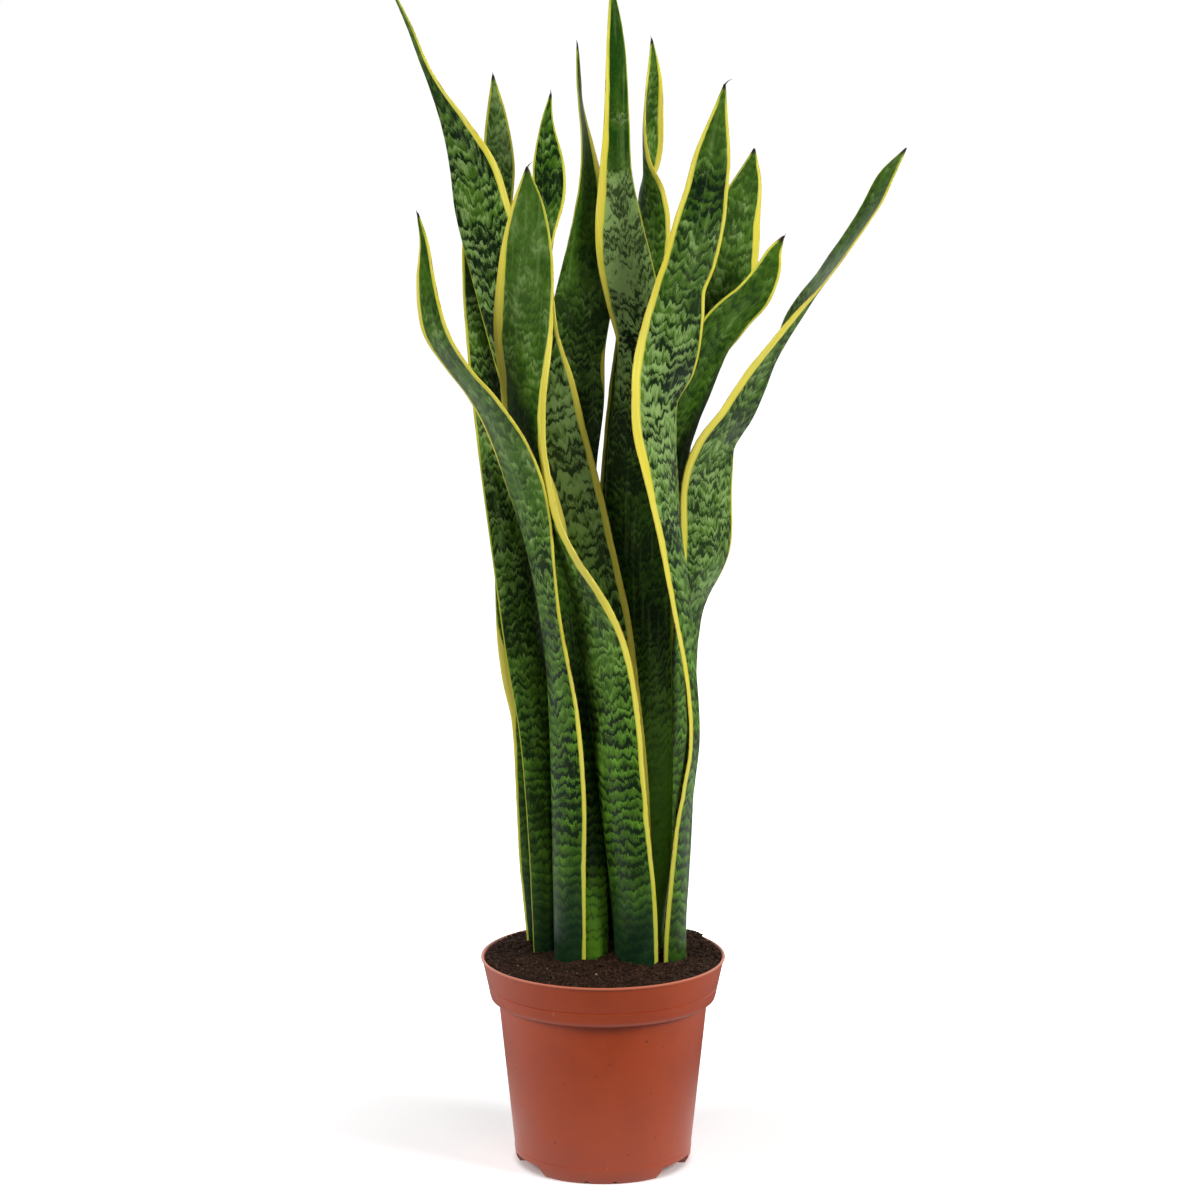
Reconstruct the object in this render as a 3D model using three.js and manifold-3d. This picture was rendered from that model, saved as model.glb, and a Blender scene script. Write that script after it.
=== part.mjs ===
// A potted snake plant: thirteen sword leaves on one root stock, in peat, in a moulded nursery pot.
// Millimetres, +Z up, front of the plant at -Y. Each sub-part is one closed mesh.
import * as THREE from "three";
import { mergeVertices } from "three/addons/utils/BufferGeometryUtils.js";
import Module from "manifold-3d";

const wasm = await Module();
wasm.setup();

// ---- Driving dimensions ----

const SEAT_GAP = 0.3; // clearance between pieces that rest on each other

const POT = {
  height: 182, // foot to the top of the lip
  lipRadius: 105,
  lipBead: 2.4, // height of the rolled lip
  lipUnder: 0.6, // height of the lip's sloped underside
  lipRound: 0.7, // rounding of the lip's outer edge
  lipTop: 1.9, // from the lip's outer edge to its inner one
  bandTopRadius: 103.8,
  bandBottomRadius: 97.4,
  bandBottom: 149.4,
  stepBottom: 144.5, // where the step under the band meets the body
  stepRadius: 90,
  stepCurve: [
    [4.8, 1],
    [6.6, 2.6],
  ], // the step's round, outwards and up from where it leaves the body
  innerRise: 1, // how much higher the same step is on the inside
  footTop: 6,
  footTopRadius: 76,
  footRadius: 72.6,
  footWidth: 2.6, // width of the flat ring that the pot stands on
  footDraft: 1, // how far the foot's inner side leans in
  wall: 1.8,
  floorBottom: 11, // the floor is raised, so that water drains away under it
  floorThickness: 2.5,
  segments: 40,
};

// The arched cuts through the foot: widths at the foot and at the top, and the radii they run between.
const ARCH = {
  count: 3,
  firstAzimuth: -62,
  footSpan: 49,
  shoulderSpan: 44,
  topSpan: 38,
  shoulder: 8,
  height: 9.5,
  from: 40,
  to: 86,
};
const NICK = { offsets: [-9, 10], radius: 2.6, length: 16 }; // offsets in degrees from each foot's middle
const DRAIN = { count: 6, circle: 46, radius: 5, length: 12 };
const BORE_SIDES = 12; // sides of each nick and drain hole

const SOIL = { edge: 176.5, crown: 179, crownRadius: 55 };

const LEAF_BASE = 150; // leaves stand this high on the root stock, below the soil's surface
const HOLE = { bottom: 148, middle: 166, top: 184, clearance: 0.4 }; // its top is above all the soil

// Blade thickness: the midrib thins from base to tip, and the margins stay thin.
const BLADE = { baseRib: 4.6, tipRib: 1.8, margin: 1.0, tipHeight: 1000 };

// Each leaf by its stations from the base up:
// [height, x, y of the midrib, width round the blade, turn about the upright, curl of the channel]
// Turn and curl are in degrees. At turn 0 the blade spans X with its outer face to the front, and
// a positive curl bends both margins away from that face.
const LEAVES = {
  leaf_front_left: [
    [150, -35, -17, 43, -42, 150],
    [182, -35, -17, 44, -42, 150],
    [251, -36, -17, 46, -44, 145],
    [323, -37, -17, 49, -46, 135],
    [393, -40, -18, 46, -52, 115],
    [449, -45, -21, 42, -62, 90],
    [485, -50, -25, 42, -64, 75],
    [520, -54.5, -28, 42, -58, 65],
    [560, -62.5, -30, 42, -52, 60],
    [594, -70, -32, 42, -44, 50],
    [630, -82, -34, 42, -42, 45],
    [665, -101, -36, 38, -46, 40],
    [692, -121.5, -39, 37, -50, 35],
    [718, -137.5, -43, 37, -48, 30],
    [742, -143.5, -47, 31, -46, 25],
    [769, -146, -50, 23, -45, 20],
    [798, -146.5, -52, 11, -45, 10],
    [823, -151.5, -53, 1.6, -45, 0],
  ],
  leaf_front_centre: [
    [150, 20, -22, 55, -42, 130],
    [183, 20, -22, 58, -42, 130],
    [234, 17, -22, 61, -42, 122],
    [284, 12, -23, 62, -42, 116],
    [340, 6, -23, 64, -42, 112],
    [402, 0, -22, 66, -43, 108],
    [453, -9, -22, 66, -46, 105],
    [489, -19, -22, 62, -58, 100],
    [527, -33, -22, 57, -78, 98],
    [560, -44, -22, 55, -91, 98],
    [600, -55.5, -21, 55, -86, 98],
    [638, -67, -21, 57, -66, 83],
    [682, -71, -24, 57, -42, 52],
    [730, -67.5, -31, 53, -20, 35],
    [786, -63.5, -44, 45.5, -15, 30],
    [829, -61.5, -53, 27.5, -15, 20],
    [861, -62, -59, 1.6, -15, 0],
  ],
  leaf_front_right: [
    [150, 69, -9, 46, 75, 140],
    [182, 69, -9, 48, 75, 140],
    [204, 69, -9, 49, 78, 136],
    [253, 70, -9, 51, 86, 122],
    [300, 72, -10, 54, 90, 100],
    [335, 76, -11, 56, 90, 78],
    [377, 80, -12, 57, 91, 66],
    [434, 77, -14, 59, 90, 68],
    [490, 72, -16, 60, 79, 70],
    [548, 63, -16, 61, 73, 66],
    [590, 56.5, -15, 62, 64, 55],
    [638, 47.5, -13, 61, 52, 40],
    [662, 46.5, -13, 59, 46, 34],
    [693, 52.5, -13, 59, 24, 23],
    [733, 60, -15, 53, 18, 20],
    [758, 64.5, -18, 46, 17, 20],
    [779, 72, -21, 46, 15, 20],
    [811, 79.5, -26, 44, 12, 20],
    [836, 84.5, -30, 37.5, 8, 20],
    [868, 89.5, -35, 30.5, 5, 15],
    [902, 95, -40, 14, 5, 5],
    [927, 99, -43, 1.6, 5, 0],
  ],
  leaf_left: [
    [150, -41, 18, 40, 50, 130],
    [182, -41, 18, 42, 50, 130],
    [284, -44, 19, 46, 50, 110],
    [376, -50, 21, 50, 50, 95],
    [442, -60, 23, 52, 48, 85],
    [522, -70, 27, 54, 46, 75],
    [591, -79.5, 35, 54, 45, 65],
    [657, -88, 43, 54, 45, 50],
    [718, -94, 50, 52, 40, 40],
    [760, -97, 53, 49, 34, 30],
    [799, -97.5, 57, 42, 24, 25],
    [849, -87.5, 62, 27, 10, 20],
    [877, -89, 66, 23, 5, 15],
    [901, -90.5, 70, 15, 5, 10],
    [929, -93, 74, 1.6, 5, 0],
  ],
  leaf_centre_left: [
    [150, -6, -10, 34, 15, 140],
    [182, -6, -10, 35, 15, 140],
    [260, -8, -5, 38, 22, 120],
    [340, -13, 4, 40, 24, 95],
    [404, -18, 11, 43, 18, 80],
    [472, -24, 16, 46, 8, 60],
    [540, -29, 18, 49, 5, 35],
    [600, -31, 19, 51, 2, 5],
    [659, -25, 20, 52, 5, -25],
    [703, -24, 20, 52, 8, -40],
    [750, -17, 20, 51, 12, -55],
    [794, -14, 21, 41, 24, -70],
    [838, -13, 23, 29, 38, -80],
    [875, -15.5, 25, 21, 62, -60],
    [909, -19.5, 27, 12, 72, -30],
    [943, -21, 29, 5, 60, -10],
    [957, -21.5, 30, 1.6, 60, 0],
  ],
  leaf_centre_tall: [
    [150, 37, 8, 30, -10, 140],
    [182, 37, 8, 32, -10, 140],
    [263, 36, 9, 46, -16, 90],
    [360, 33, 10, 54, -20, 60],
    [456, 30, 10, 58, -20, 45],
    [542, 28, 11, 58, -14, 40],
    [616, 31, 11, 56, -4, 35],
    [672, 35, 10, 51, 4, 30],
    [710, 36, 10, 49, 8, 30],
    [750, 25, 10, 48, 14, 30],
    [781, 18, 10, 47, 15, 30],
    [811, 13.5, 10, 41, 15, 30],
    [850, 11, 10, 29, 15, 30],
    [890, 11.5, 11, 23, 15, 25],
    [943, 11, 12, 18, 15, 20],
    [967, 10, 13, 14, 15, 15],
    [993, 8, 14, 6.5, 15, 5],
    [1003, 7, 14, 1.6, 15, 0],
  ],
  leaf_centre_back: [
    [150, 26, -8, 38, -42, 130],
    [183, 26, -8, 40, -42, 130],
    [260, 22, -8, 44, -42, 100],
    [340, 17, -6, 47, -42, 80],
    [404, 10, -3, 48, -38, 65],
    [472, 0, -2, 49, -26, 55],
    [523, -12, 0, 50, -20, 45],
    [575, -24, 4, 50, -12, 35],
    [636, -38, 5, 47, -10, 30],
    [672, -45, 6, 44, -14, 30],
    [715, -54, 6, 37, -26, 25],
    [760, -54, 4, 33, -45, 25],
    [796, -48, 6, 30, -68, 25],
    [837, -45, 10, 29, -20, 25],
    [860, -45.5, 13, 26, -5, 20],
    [892, -46.5, 17, 11, -5, 10],
    [916, -43.5, 20, 1.6, -5, 0],
  ],
  leaf_back_left_tall: [
    [150, -17, 27, 38, -20, 130],
    [182, -17, 27, 40, -20, 130],
    [280, -18, 29, 44, -18, 100],
    [380, -20, 32, 48, -16, 80],
    [480, -24, 33, 50, -14, 60],
    [540, -34, 30, 51, -14, 50],
    [600, -47, 28, 51, -14, 43],
    [660, -60, 27, 51, -14, 35],
    [718, -75, 25, 52, -14, 30],
    [771, -88, 25, 53, -14, 30],
    [816, -101, 26, 50, -16, 30],
    [852, -109.5, 28, 44, -20, 30],
    [888, -124.5, 30, 31, -36, 25],
    [918, -139.5, 33, 19, -52, 20],
    [942, -150.5, 36, 12, -58, 20],
    [969, -161, 40, 8, -54, 10],
    [1003, -177, 46, 1.6, -50, 0],
  ],
  leaf_back_left_low: [
    [150, -49, 39, 34, 30, 130],
    [183, -49, 39, 36, 30, 130],
    [250, -54, 39, 38, 34, 115],
    [300, -56, 39, 39, 36, 100],
    [380, -60, 39, 40, 40, 90],
    [420, -67, 38, 43, 40, 78],
    [456, -70, 39, 46, 40, 70],
    [520, -74, 42, 44, 42, 50],
    [600, -84, 48, 36, 44, 40],
    [660, -90, 57, 22, 45, 30],
    [700, -93, 61, 1.6, 45, 0],
  ],
  leaf_right_arching: [
    [150, 60, 30, 40, 22, 140],
    [182, 60, 30, 42, 22, 140],
    [272, 64, 31, 48, 30, 110],
    [360, 70, 31, 54, 50, 80],
    [443, 74, 33, 57, 60, 60],
    [480, 78, 33, 58, 56, 50],
    [525, 91, 32, 60, 42, 45],
    [583, 92, 31, 60, 40, 45],
    [616, 99, 30, 60, 48, 45],
    [643, 117, 33, 57, 52, 45],
    [681, 139.5, 39, 54, 54, 45],
    [725, 168, 45, 47.5, 62, 55],
    [763, 189, 50, 38.5, 80, 75],
    [791, 211, 55, 30.5, 104, 75],
    [819, 228.5, 60, 26.5, 122, 50],
    [845, 240.5, 65, 18.5, 135, 25],
    [868, 256.5, 69, 1.6, 135, 0],
  ],
  leaf_back_twisted: [
    [150, -1, 46, 34, 180, -130],
    [182, -1, 46, 36, 180, -130],
    [300, 4, 47, 42, 180, -90],
    [420, 10, 47, 45, 179, -60],
    [540, 16, 47, 45, 175, -50],
    [640, 22, 43, 44, 168, -55],
    [720, 29, 43, 43, 158, -70],
    [770, 34, 48, 43, 150, -85],
    [808, 37, 53, 42, 140, -100],
    [834, 34.5, 56, 40, 122, -120],
    [851, 35, 59, 38, 82, -125],
    [869, 36, 62, 35.5, 62, -130],
    [891, 37.5, 66, 30.5, 50, -130],
    [925, 41.5, 73, 18, 35, -90],
    [943, 42, 77, 9, 35, -50],
    [959, 41, 80, 1.6, 35, 0],
  ],
  leaf_back_right: [
    [150, 46, 46, 34, 5, 130],
    [182, 46, 46, 36, 5, 130],
    [300, 50, 50, 42, 5, 90],
    [420, 52, 52, 46, 5, 60],
    [540, 50, 53, 49, 8, 45],
    [620, 52, 52, 50, 10, 35],
    [665, 66, 52, 51, 12, 30],
    [704, 84, 55, 52, 14, 30],
    [741, 102.5, 61, 52.5, 14, 30],
    [781, 110, 70, 49.5, 14, 30],
    [806, 114, 77, 43.5, 14, 25],
    [839, 124, 87, 24.5, 14, 20],
    [866, 129, 94, 1.6, 14, 0],
  ],
  leaf_back_right_low: [
    [150, 24, 34, 32, 0, 130],
    [182, 24, 34, 34, 0, 130],
    [300, 30, 34, 42, 5, 90],
    [420, 36, 32, 46, 12, 60],
    [540, 44, 30, 48, 20, 50],
    [613, 56, 28, 47, 24, 60],
    [644, 67, 27, 46, 27, 65],
    [672, 79, 27, 46, 28, 70],
    [705, 93, 26, 43, 28, 60],
    [726, 108, 28, 41, 25, 40],
    [746, 127.5, 31, 36, 28, 25],
    [766, 139, 34, 27, 30, 20],
    [783, 144.5, 37, 15, 30, 10],
    [796, 152, 40, 1.6, 30, 0],
  ],
};

// The root stock: a crown under each leaf, and runners that join the crowns in this order.
// A crown's offset and radius are shares of its leaf's channel, and its other radii are shares of its own.
const STOCK_TOP = LEAF_BASE - SEAT_GAP;
const CROWN = {
  depth: 24,
  offset: 0.6,
  radius: 0.75,
  topRadius: 0.85,
  topBevel: 5,
  footRadius: 0.8,
  footBevel: 4,
  segments: 8,
};
const RUNNER = { radius: 8.5, drop: 14, sag: 4 };
const RUNNERS = [
  ["leaf_left", "leaf_back_left_tall"],
  ["leaf_left", "leaf_back_left_low"],
  ["leaf_front_left", "leaf_back_left_tall"],
  ["leaf_front_left", "leaf_centre_left"],
  ["leaf_centre_left", "leaf_centre_back"],
  ["leaf_centre_back", "leaf_front_centre"],
  ["leaf_centre_back", "leaf_centre_tall"],
  ["leaf_centre_tall", "leaf_front_right"],
  ["leaf_centre_tall", "leaf_back_right_low"],
  ["leaf_back_right_low", "leaf_back_twisted"],
  ["leaf_centre_tall", "leaf_right_arching"],
  ["leaf_right_arching", "leaf_back_right"],
];

const COLOURS = {
  pot: { color: 0xa8502e, roughness: 0.45, metalness: 0 },
  soil: { color: 0x2a1c15, roughness: 0.95, metalness: 0 },
  stock: { color: 0xb98a4a, roughness: 0.8, metalness: 0 },
  leaf: { color: 0x3f6b33, roughness: 0.4, metalness: 0 },
};

// ---- Solids ----

const MERGE_GAP = 1e-4;
const radians = THREE.MathUtils.degToRad;

// A closed geometry as a solid that can be joined and cut.
function solid(geometry) {
  const bare = geometry.index ? geometry.toNonIndexed() : geometry;
  const positions = new THREE.BufferGeometry().setAttribute("position", bare.getAttribute("position"));
  const merged = mergeVertices(positions, MERGE_GAP);
  return new wasm.Manifold(
    new wasm.Mesh({
      numProp: 3,
      vertProperties: merged.attributes.position.array,
      triVerts: new Uint32Array(merged.index.array),
    }),
  );
}

function geometryOf(body) {
  const { vertProperties, triVerts } = body.getMesh();
  const geometry = new THREE.BufferGeometry();
  geometry.setAttribute("position", new THREE.BufferAttribute(vertProperties, 3));
  geometry.setIndex(new THREE.BufferAttribute(triVerts, 1));
  geometry.computeVertexNormals();
  return geometry;
}

// Turns a profile of [radius, height] points, in order up the outside, about the Z axis.
function turned(profile, segments) {
  const points = profile.map(([radius, height]) => new THREE.Vector2(radius, height));
  return new THREE.LatheGeometry(points, segments).rotateX(Math.PI / 2);
}

// The point on a circle about the pot's axis; azimuth 0 is the front, and it grows towards +X.
function around(radius, azimuth) {
  const angle = radians(azimuth);
  return [radius * Math.sin(angle), -radius * Math.cos(angle)];
}

// ---- Leaf blades ----

// Smooth value of one column of the stations at a height: a cubic through them all.
function columnAt(stations, column, z) {
  const last = stations.length - 1;
  let k = 0;
  while (k < last - 1 && z > stations[k + 1][0]) k += 1;
  const slope = (i) => {
    const below = stations[Math.max(i - 1, 0)];
    const above = stations[Math.min(i + 1, last)];
    return (above[column] - below[column]) / (above[0] - below[0]);
  };
  const span = stations[k + 1][0] - stations[k][0];
  const t = (z - stations[k][0]) / span;
  const rise = t * t * (3 - 2 * t);
  return (
    stations[k][column] * (1 - rise) +
    stations[k + 1][column] * rise +
    span * t * (1 - t) * ((1 - t) * slope(k) - t * slope(k + 1))
  );
}

const AXIS_STEP = 0.5; // the blade's direction is read between two points this far above and below
const LEAST_CURL = 1e-3; // a flat blade is an arc of this curl, in radians

// The blade's own axes at a height: up the blade, across it, and into its channel.
function frameAt(stations, z) {
  const low = Math.max(z - AXIS_STEP, stations[0][0]);
  const high = Math.min(z + AXIS_STEP, stations.at(-1)[0]);
  const point = (h) => new THREE.Vector3(columnAt(stations, 1, h), columnAt(stations, 2, h), h);
  const along = point(high).sub(point(low)).normalize();
  const turn = radians(columnAt(stations, 4, z));
  const across = new THREE.Vector3(Math.cos(turn), Math.sin(turn), 0);
  across.addScaledVector(along, -across.dot(along)).normalize();
  return { centre: point(z), across, inward: along.clone().cross(across) };
}

// A row of [outer, inner] points across the blade, where its section is an arc of the width and curl.
function rowAt(stations, z, across, grow) {
  const { centre, across: side, inward } = frameAt(stations, z);
  const width = columnAt(stations, 3, z) + 2 * grow;
  const curl = radians(columnAt(stations, 5, z));
  const bend = Math.abs(curl) < LEAST_CURL ? LEAST_CURL : curl;
  const rise = (z - LEAF_BASE) / (BLADE.tipHeight - LEAF_BASE);
  const rib = THREE.MathUtils.lerp(BLADE.baseRib, BLADE.tipRib, rise);
  return across.map((u) => {
    const angle = (u * bend) / 2;
    const radius = width / bend;
    const middle = centre
      .clone()
      .addScaledVector(side, radius * Math.sin(angle))
      .addScaledVector(inward, radius * (1 - Math.cos(angle)));
    const normal = inward.clone().multiplyScalar(Math.cos(angle)).addScaledVector(side, -Math.sin(angle));
    const half = THREE.MathUtils.lerp(BLADE.margin, rib, 1 - u * u) / 2 + grow;
    return [middle.clone().addScaledVector(normal, -half), middle.addScaledVector(normal, half)];
  });
}

// Closes the rows of a blade into one solid. Both faces are split along the same diagonals.
function bladeGeometry(rows) {
  const wide = rows[0].length;
  const positions = rows.flatMap((row) => row.flatMap((pair) => pair.flatMap((p) => p.toArray())));
  const at = (row, j, face) => (row * wide + j) * 2 + face;
  const index = [];
  const quad = (a, b, c, d) => index.push(a, b, c, a, c, d);
  const top = rows.length - 1;
  for (let i = 0; i < top; i += 1) {
    for (let j = 0; j < wide - 1; j += 1) {
      quad(at(i, j, 0), at(i, j + 1, 0), at(i + 1, j + 1, 0), at(i + 1, j, 0));
      quad(at(i + 1, j + 1, 1), at(i, j + 1, 1), at(i, j, 1), at(i + 1, j, 1));
    }
    quad(at(i, 0, 0), at(i + 1, 0, 0), at(i + 1, 0, 1), at(i, 0, 1));
    quad(at(i, wide - 1, 1), at(i + 1, wide - 1, 1), at(i + 1, wide - 1, 0), at(i, wide - 1, 0));
  }
  for (let j = 0; j < wide - 1; j += 1) {
    quad(at(0, j, 0), at(0, j, 1), at(0, j + 1, 1), at(0, j + 1, 0));
    quad(at(top, j, 0), at(top, j + 1, 0), at(top, j + 1, 1), at(top, j, 1));
  }
  const geometry = new THREE.BufferGeometry();
  geometry.setAttribute("position", new THREE.Float32BufferAttribute(positions, 3));
  geometry.setIndex(index);
  return geometry;
}

const ACROSS = [-1, -0.5, 0, 0.5, 1];
const ROW_STEP = 45; // largest height between two rows

function leafGeometry(stations) {
  const heights = stations.slice(1).flatMap(([z], k) => {
    const start = stations[k][0];
    const steps = Math.ceil((z - start) / ROW_STEP);
    return Array.from({ length: steps }, (_, i) => start + ((z - start) * i) / steps);
  });
  heights.push(stations.at(-1)[0]);
  return bladeGeometry(heights.map((z) => rowAt(stations, z, ACROSS, 0)));
}

// The plain hole that a leaf's base stands in: the base's own section with a little room round it.
function holeGeometry(stations) {
  const heights = [HOLE.bottom, HOLE.middle, HOLE.top];
  const held = heights.map((z) => Math.max(z, LEAF_BASE));
  const rows = held.map((z) => rowAt(stations, z, ACROSS, HOLE.clearance));
  rows[0].flat().forEach((p) => p.setZ(heights[0]));
  return bladeGeometry(rows);
}

// ---- Root stock ----

// The middle of the channel at a leaf's base, and the channel's radius.
function crownOf(stations) {
  const { centre, inward } = frameAt(stations, LEAF_BASE);
  const radius = stations[0][3] / radians(stations[0][5]);
  return { middle: centre.addScaledVector(inward, radius * CROWN.offset), radius: Math.abs(radius) };
}

function crownGeometry({ middle, radius }, grow) {
  const wide = radius * CROWN.radius + grow;
  const top = STOCK_TOP + grow;
  const bottom = STOCK_TOP - CROWN.depth - grow;
  const profile = [
    [0, bottom],
    [wide * CROWN.footRadius, bottom + CROWN.footBevel],
    [wide, top - CROWN.topBevel],
    [wide * CROWN.topRadius, top],
    [0, top],
  ];
  return turned(profile, CROWN.segments).translate(middle.x, middle.y, 0);
}

// A runner between two crowns, sagging a little, as a swept polygon.
function runnerGeometry(from, to, grow) {
  const start = from.middle.clone().setZ(STOCK_TOP - RUNNER.drop);
  const end = to.middle.clone().setZ(STOCK_TOP - RUNNER.drop);
  const sag = start.clone().lerp(end, 0.5).setZ(start.z - RUNNER.sag);
  const radius = RUNNER.radius + grow;
  const path = new THREE.CatmullRomCurve3([start, sag, end]);
  const section = new THREE.Shape();
  section.absellipse(0, 0, radius, radius, 0, 2 * Math.PI, false, 0);
  return new THREE.ExtrudeGeometry(section, { extrudePath: path, steps: 2, curveSegments: 3 });
}

function stockBody(grow) {
  const crowns = Object.fromEntries(Object.entries(LEAVES).map(([name, s]) => [name, crownOf(s)]));
  const parts = [
    ...Object.values(crowns).map((crown) => crownGeometry(crown, grow)),
    ...RUNNERS.map(([a, b]) => runnerGeometry(crowns[a], crowns[b], grow)),
  ];
  return parts.map(solid).reduce((whole, part) => whole.add(part));
}

// ---- Pot ----

// The pot's wall on the inside, from the floor up to the lip, as [radius, height].
function innerWall(inset) {
  const floorTop = POT.floorBottom + POT.floorThickness;
  const bodyRadius = (z) =>
    THREE.MathUtils.mapLinear(z, POT.footTop, POT.stepBottom, POT.footTopRadius, POT.stepRadius);
  return [
    [bodyRadius(floorTop) - POT.wall - inset, floorTop],
    [POT.stepRadius - POT.wall - inset, POT.stepBottom + POT.innerRise],
    [POT.bandBottomRadius - POT.wall - inset, POT.bandBottom + POT.innerRise],
    [POT.bandTopRadius - POT.wall - inset, POT.height - POT.lipBead],
  ];
}

function potProfile() {
  const outside = [
    [0, POT.floorBottom],
    [POT.footRadius - POT.footWidth - POT.footDraft, POT.floorBottom],
    [POT.footRadius - POT.footWidth, 0],
    [POT.footRadius, 0],
    [POT.footTopRadius, POT.footTop],
    [POT.stepRadius, POT.stepBottom],
    ...POT.stepCurve.map(([out, up]) => [POT.stepRadius + out, POT.stepBottom + up]),
    [POT.bandBottomRadius, POT.bandBottom],
    [POT.bandTopRadius, POT.height - POT.lipBead],
    [POT.lipRadius, POT.height - POT.lipBead + POT.lipUnder],
    [POT.lipRadius, POT.height - POT.lipRound],
    [POT.lipRadius - POT.lipRound, POT.height],
    [POT.lipRadius - POT.lipTop, POT.height],
  ];
  const inside = innerWall(0).reverse();
  return [...outside, ...inside, [0, POT.floorBottom + POT.floorThickness]];
}

// An arched cut through the foot, centred on an azimuth.
function archGeometry(azimuth) {
  const { footSpan, shoulderSpan, topSpan, shoulder, height } = ARCH;
  const outline = new THREE.Shape();
  outline.moveTo(-footSpan / 2, -1);
  outline.lineTo(footSpan / 2, -1);
  outline.lineTo(shoulderSpan / 2, shoulder);
  outline.lineTo(topSpan / 2, height);
  outline.lineTo(-topSpan / 2, height);
  outline.lineTo(-shoulderSpan / 2, shoulder);
  outline.closePath();
  const cut = new THREE.ExtrudeGeometry(outline, { depth: ARCH.to - ARCH.from, bevelEnabled: false });
  return cut
    .translate(0, 0, ARCH.from)
    .rotateX(Math.PI / 2)
    .rotateZ(radians(azimuth));
}

// A half-round nick under the foot, running outwards at an azimuth.
function nickGeometry(azimuth) {
  const rod = new THREE.CylinderGeometry(NICK.radius, NICK.radius, NICK.length, BORE_SIDES);
  return rod.translate(0, -POT.footRadius, 0).rotateZ(radians(azimuth));
}

function drainGeometry([x, y]) {
  const rod = new THREE.CylinderGeometry(DRAIN.radius, DRAIN.radius, DRAIN.length, BORE_SIDES);
  return rod.rotateX(Math.PI / 2).translate(x, y, POT.floorBottom + POT.floorThickness / 2);
}

function potBody() {
  const step = 360 / ARCH.count;
  const arches = Array.from({ length: ARCH.count }, (_, i) => ARCH.firstAzimuth + i * step);
  const nicks = arches.flatMap((azimuth) => NICK.offsets.map((offset) => azimuth + step / 2 + offset));
  const drains = Array.from({ length: DRAIN.count }, (_, i) => around(DRAIN.circle, (i * 360) / DRAIN.count));
  const cuts = [
    ...arches.map(archGeometry),
    ...nicks.map(nickGeometry),
    ...[[0, 0], ...drains].map(drainGeometry),
  ];
  return cuts.map(solid).reduce((body, cut) => body.subtract(cut), solid(turned(potProfile(), POT.segments)));
}

// ---- Soil ----

function soilBody() {
  const floorTop = POT.floorBottom + POT.floorThickness;
  const wall = innerWall(SEAT_GAP);
  const [upper, lower] = [wall.at(-1), wall.at(-2)];
  const edgeRadius = THREE.MathUtils.mapLinear(SOIL.edge, lower[1], upper[1], lower[0], upper[0]);
  const profile = [
    [0, floorTop + SEAT_GAP],
    [wall[0][0], floorTop + SEAT_GAP],
    wall[1],
    wall[2],
    [edgeRadius, SOIL.edge],
    [SOIL.crownRadius, SOIL.crown],
    [0, SOIL.crown],
  ];
  const filled = solid(turned(profile, POT.segments)).subtract(stockBody(SEAT_GAP));
  return Object.values(LEAVES)
    .map(holeGeometry)
    .map(solid)
    .reduce((body, hole) => body.subtract(hole), filled);
}

// ---- The plant ----

function part(name, geometry, finish) {
  const mesh = new THREE.Mesh(geometry, new THREE.MeshStandardMaterial(COLOURS[finish]));
  mesh.name = name;
  return mesh;
}

const plant = new THREE.Group();
plant.add(part("pot", geometryOf(potBody()), "pot"));
plant.add(part("soil", geometryOf(soilBody()), "soil"));
plant.add(part("rhizome", geometryOf(stockBody(0)), "stock"));
for (const [name, stations] of Object.entries(LEAVES)) {
  plant.add(part(name, leafGeometry(stations), "leaf"));
}

// The origin is the middle of the whole plant's box, on the surface that the pot stands on.
const box = new THREE.Box3().setFromObject(plant);
const middle = box.getCenter(new THREE.Vector3());
plant.position.set(-middle.x, -middle.y, -box.min.z);

export default plant;
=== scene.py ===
"""A potted snake plant: sword leaves with yellow margins, peat and a terracotta plastic pot."""

import math
import random

import bmesh
import bpy
from mathutils import Matrix, Vector, noise


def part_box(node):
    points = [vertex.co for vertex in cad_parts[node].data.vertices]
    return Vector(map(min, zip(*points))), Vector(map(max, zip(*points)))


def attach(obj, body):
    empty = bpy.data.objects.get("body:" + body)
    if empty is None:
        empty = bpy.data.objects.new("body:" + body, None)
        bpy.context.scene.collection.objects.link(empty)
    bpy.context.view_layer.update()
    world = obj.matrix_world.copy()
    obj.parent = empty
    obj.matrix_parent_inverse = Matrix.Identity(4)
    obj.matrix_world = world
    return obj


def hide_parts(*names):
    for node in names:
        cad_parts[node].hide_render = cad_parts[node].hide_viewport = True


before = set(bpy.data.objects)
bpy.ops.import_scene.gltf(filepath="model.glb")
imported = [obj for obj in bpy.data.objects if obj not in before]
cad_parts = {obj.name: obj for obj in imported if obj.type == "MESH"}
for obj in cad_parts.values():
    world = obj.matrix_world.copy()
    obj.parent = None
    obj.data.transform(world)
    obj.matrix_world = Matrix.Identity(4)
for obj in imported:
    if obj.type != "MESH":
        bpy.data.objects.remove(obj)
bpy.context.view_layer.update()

MM = 0.001
pot_low, pot_high = (Vector(corner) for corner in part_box("pot"))
AXIS = Vector(((pot_low.x + pot_high.x) / 2, (pot_low.y + pot_high.y) / 2, 0))
NOISE_SEED = 5
noise.seed_set(NOISE_SEED)

# ---- Sizes, in millimetres ----

LEAF_BASE = 150  # the leaves stand this high on the root stock, below the peat's surface
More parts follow.
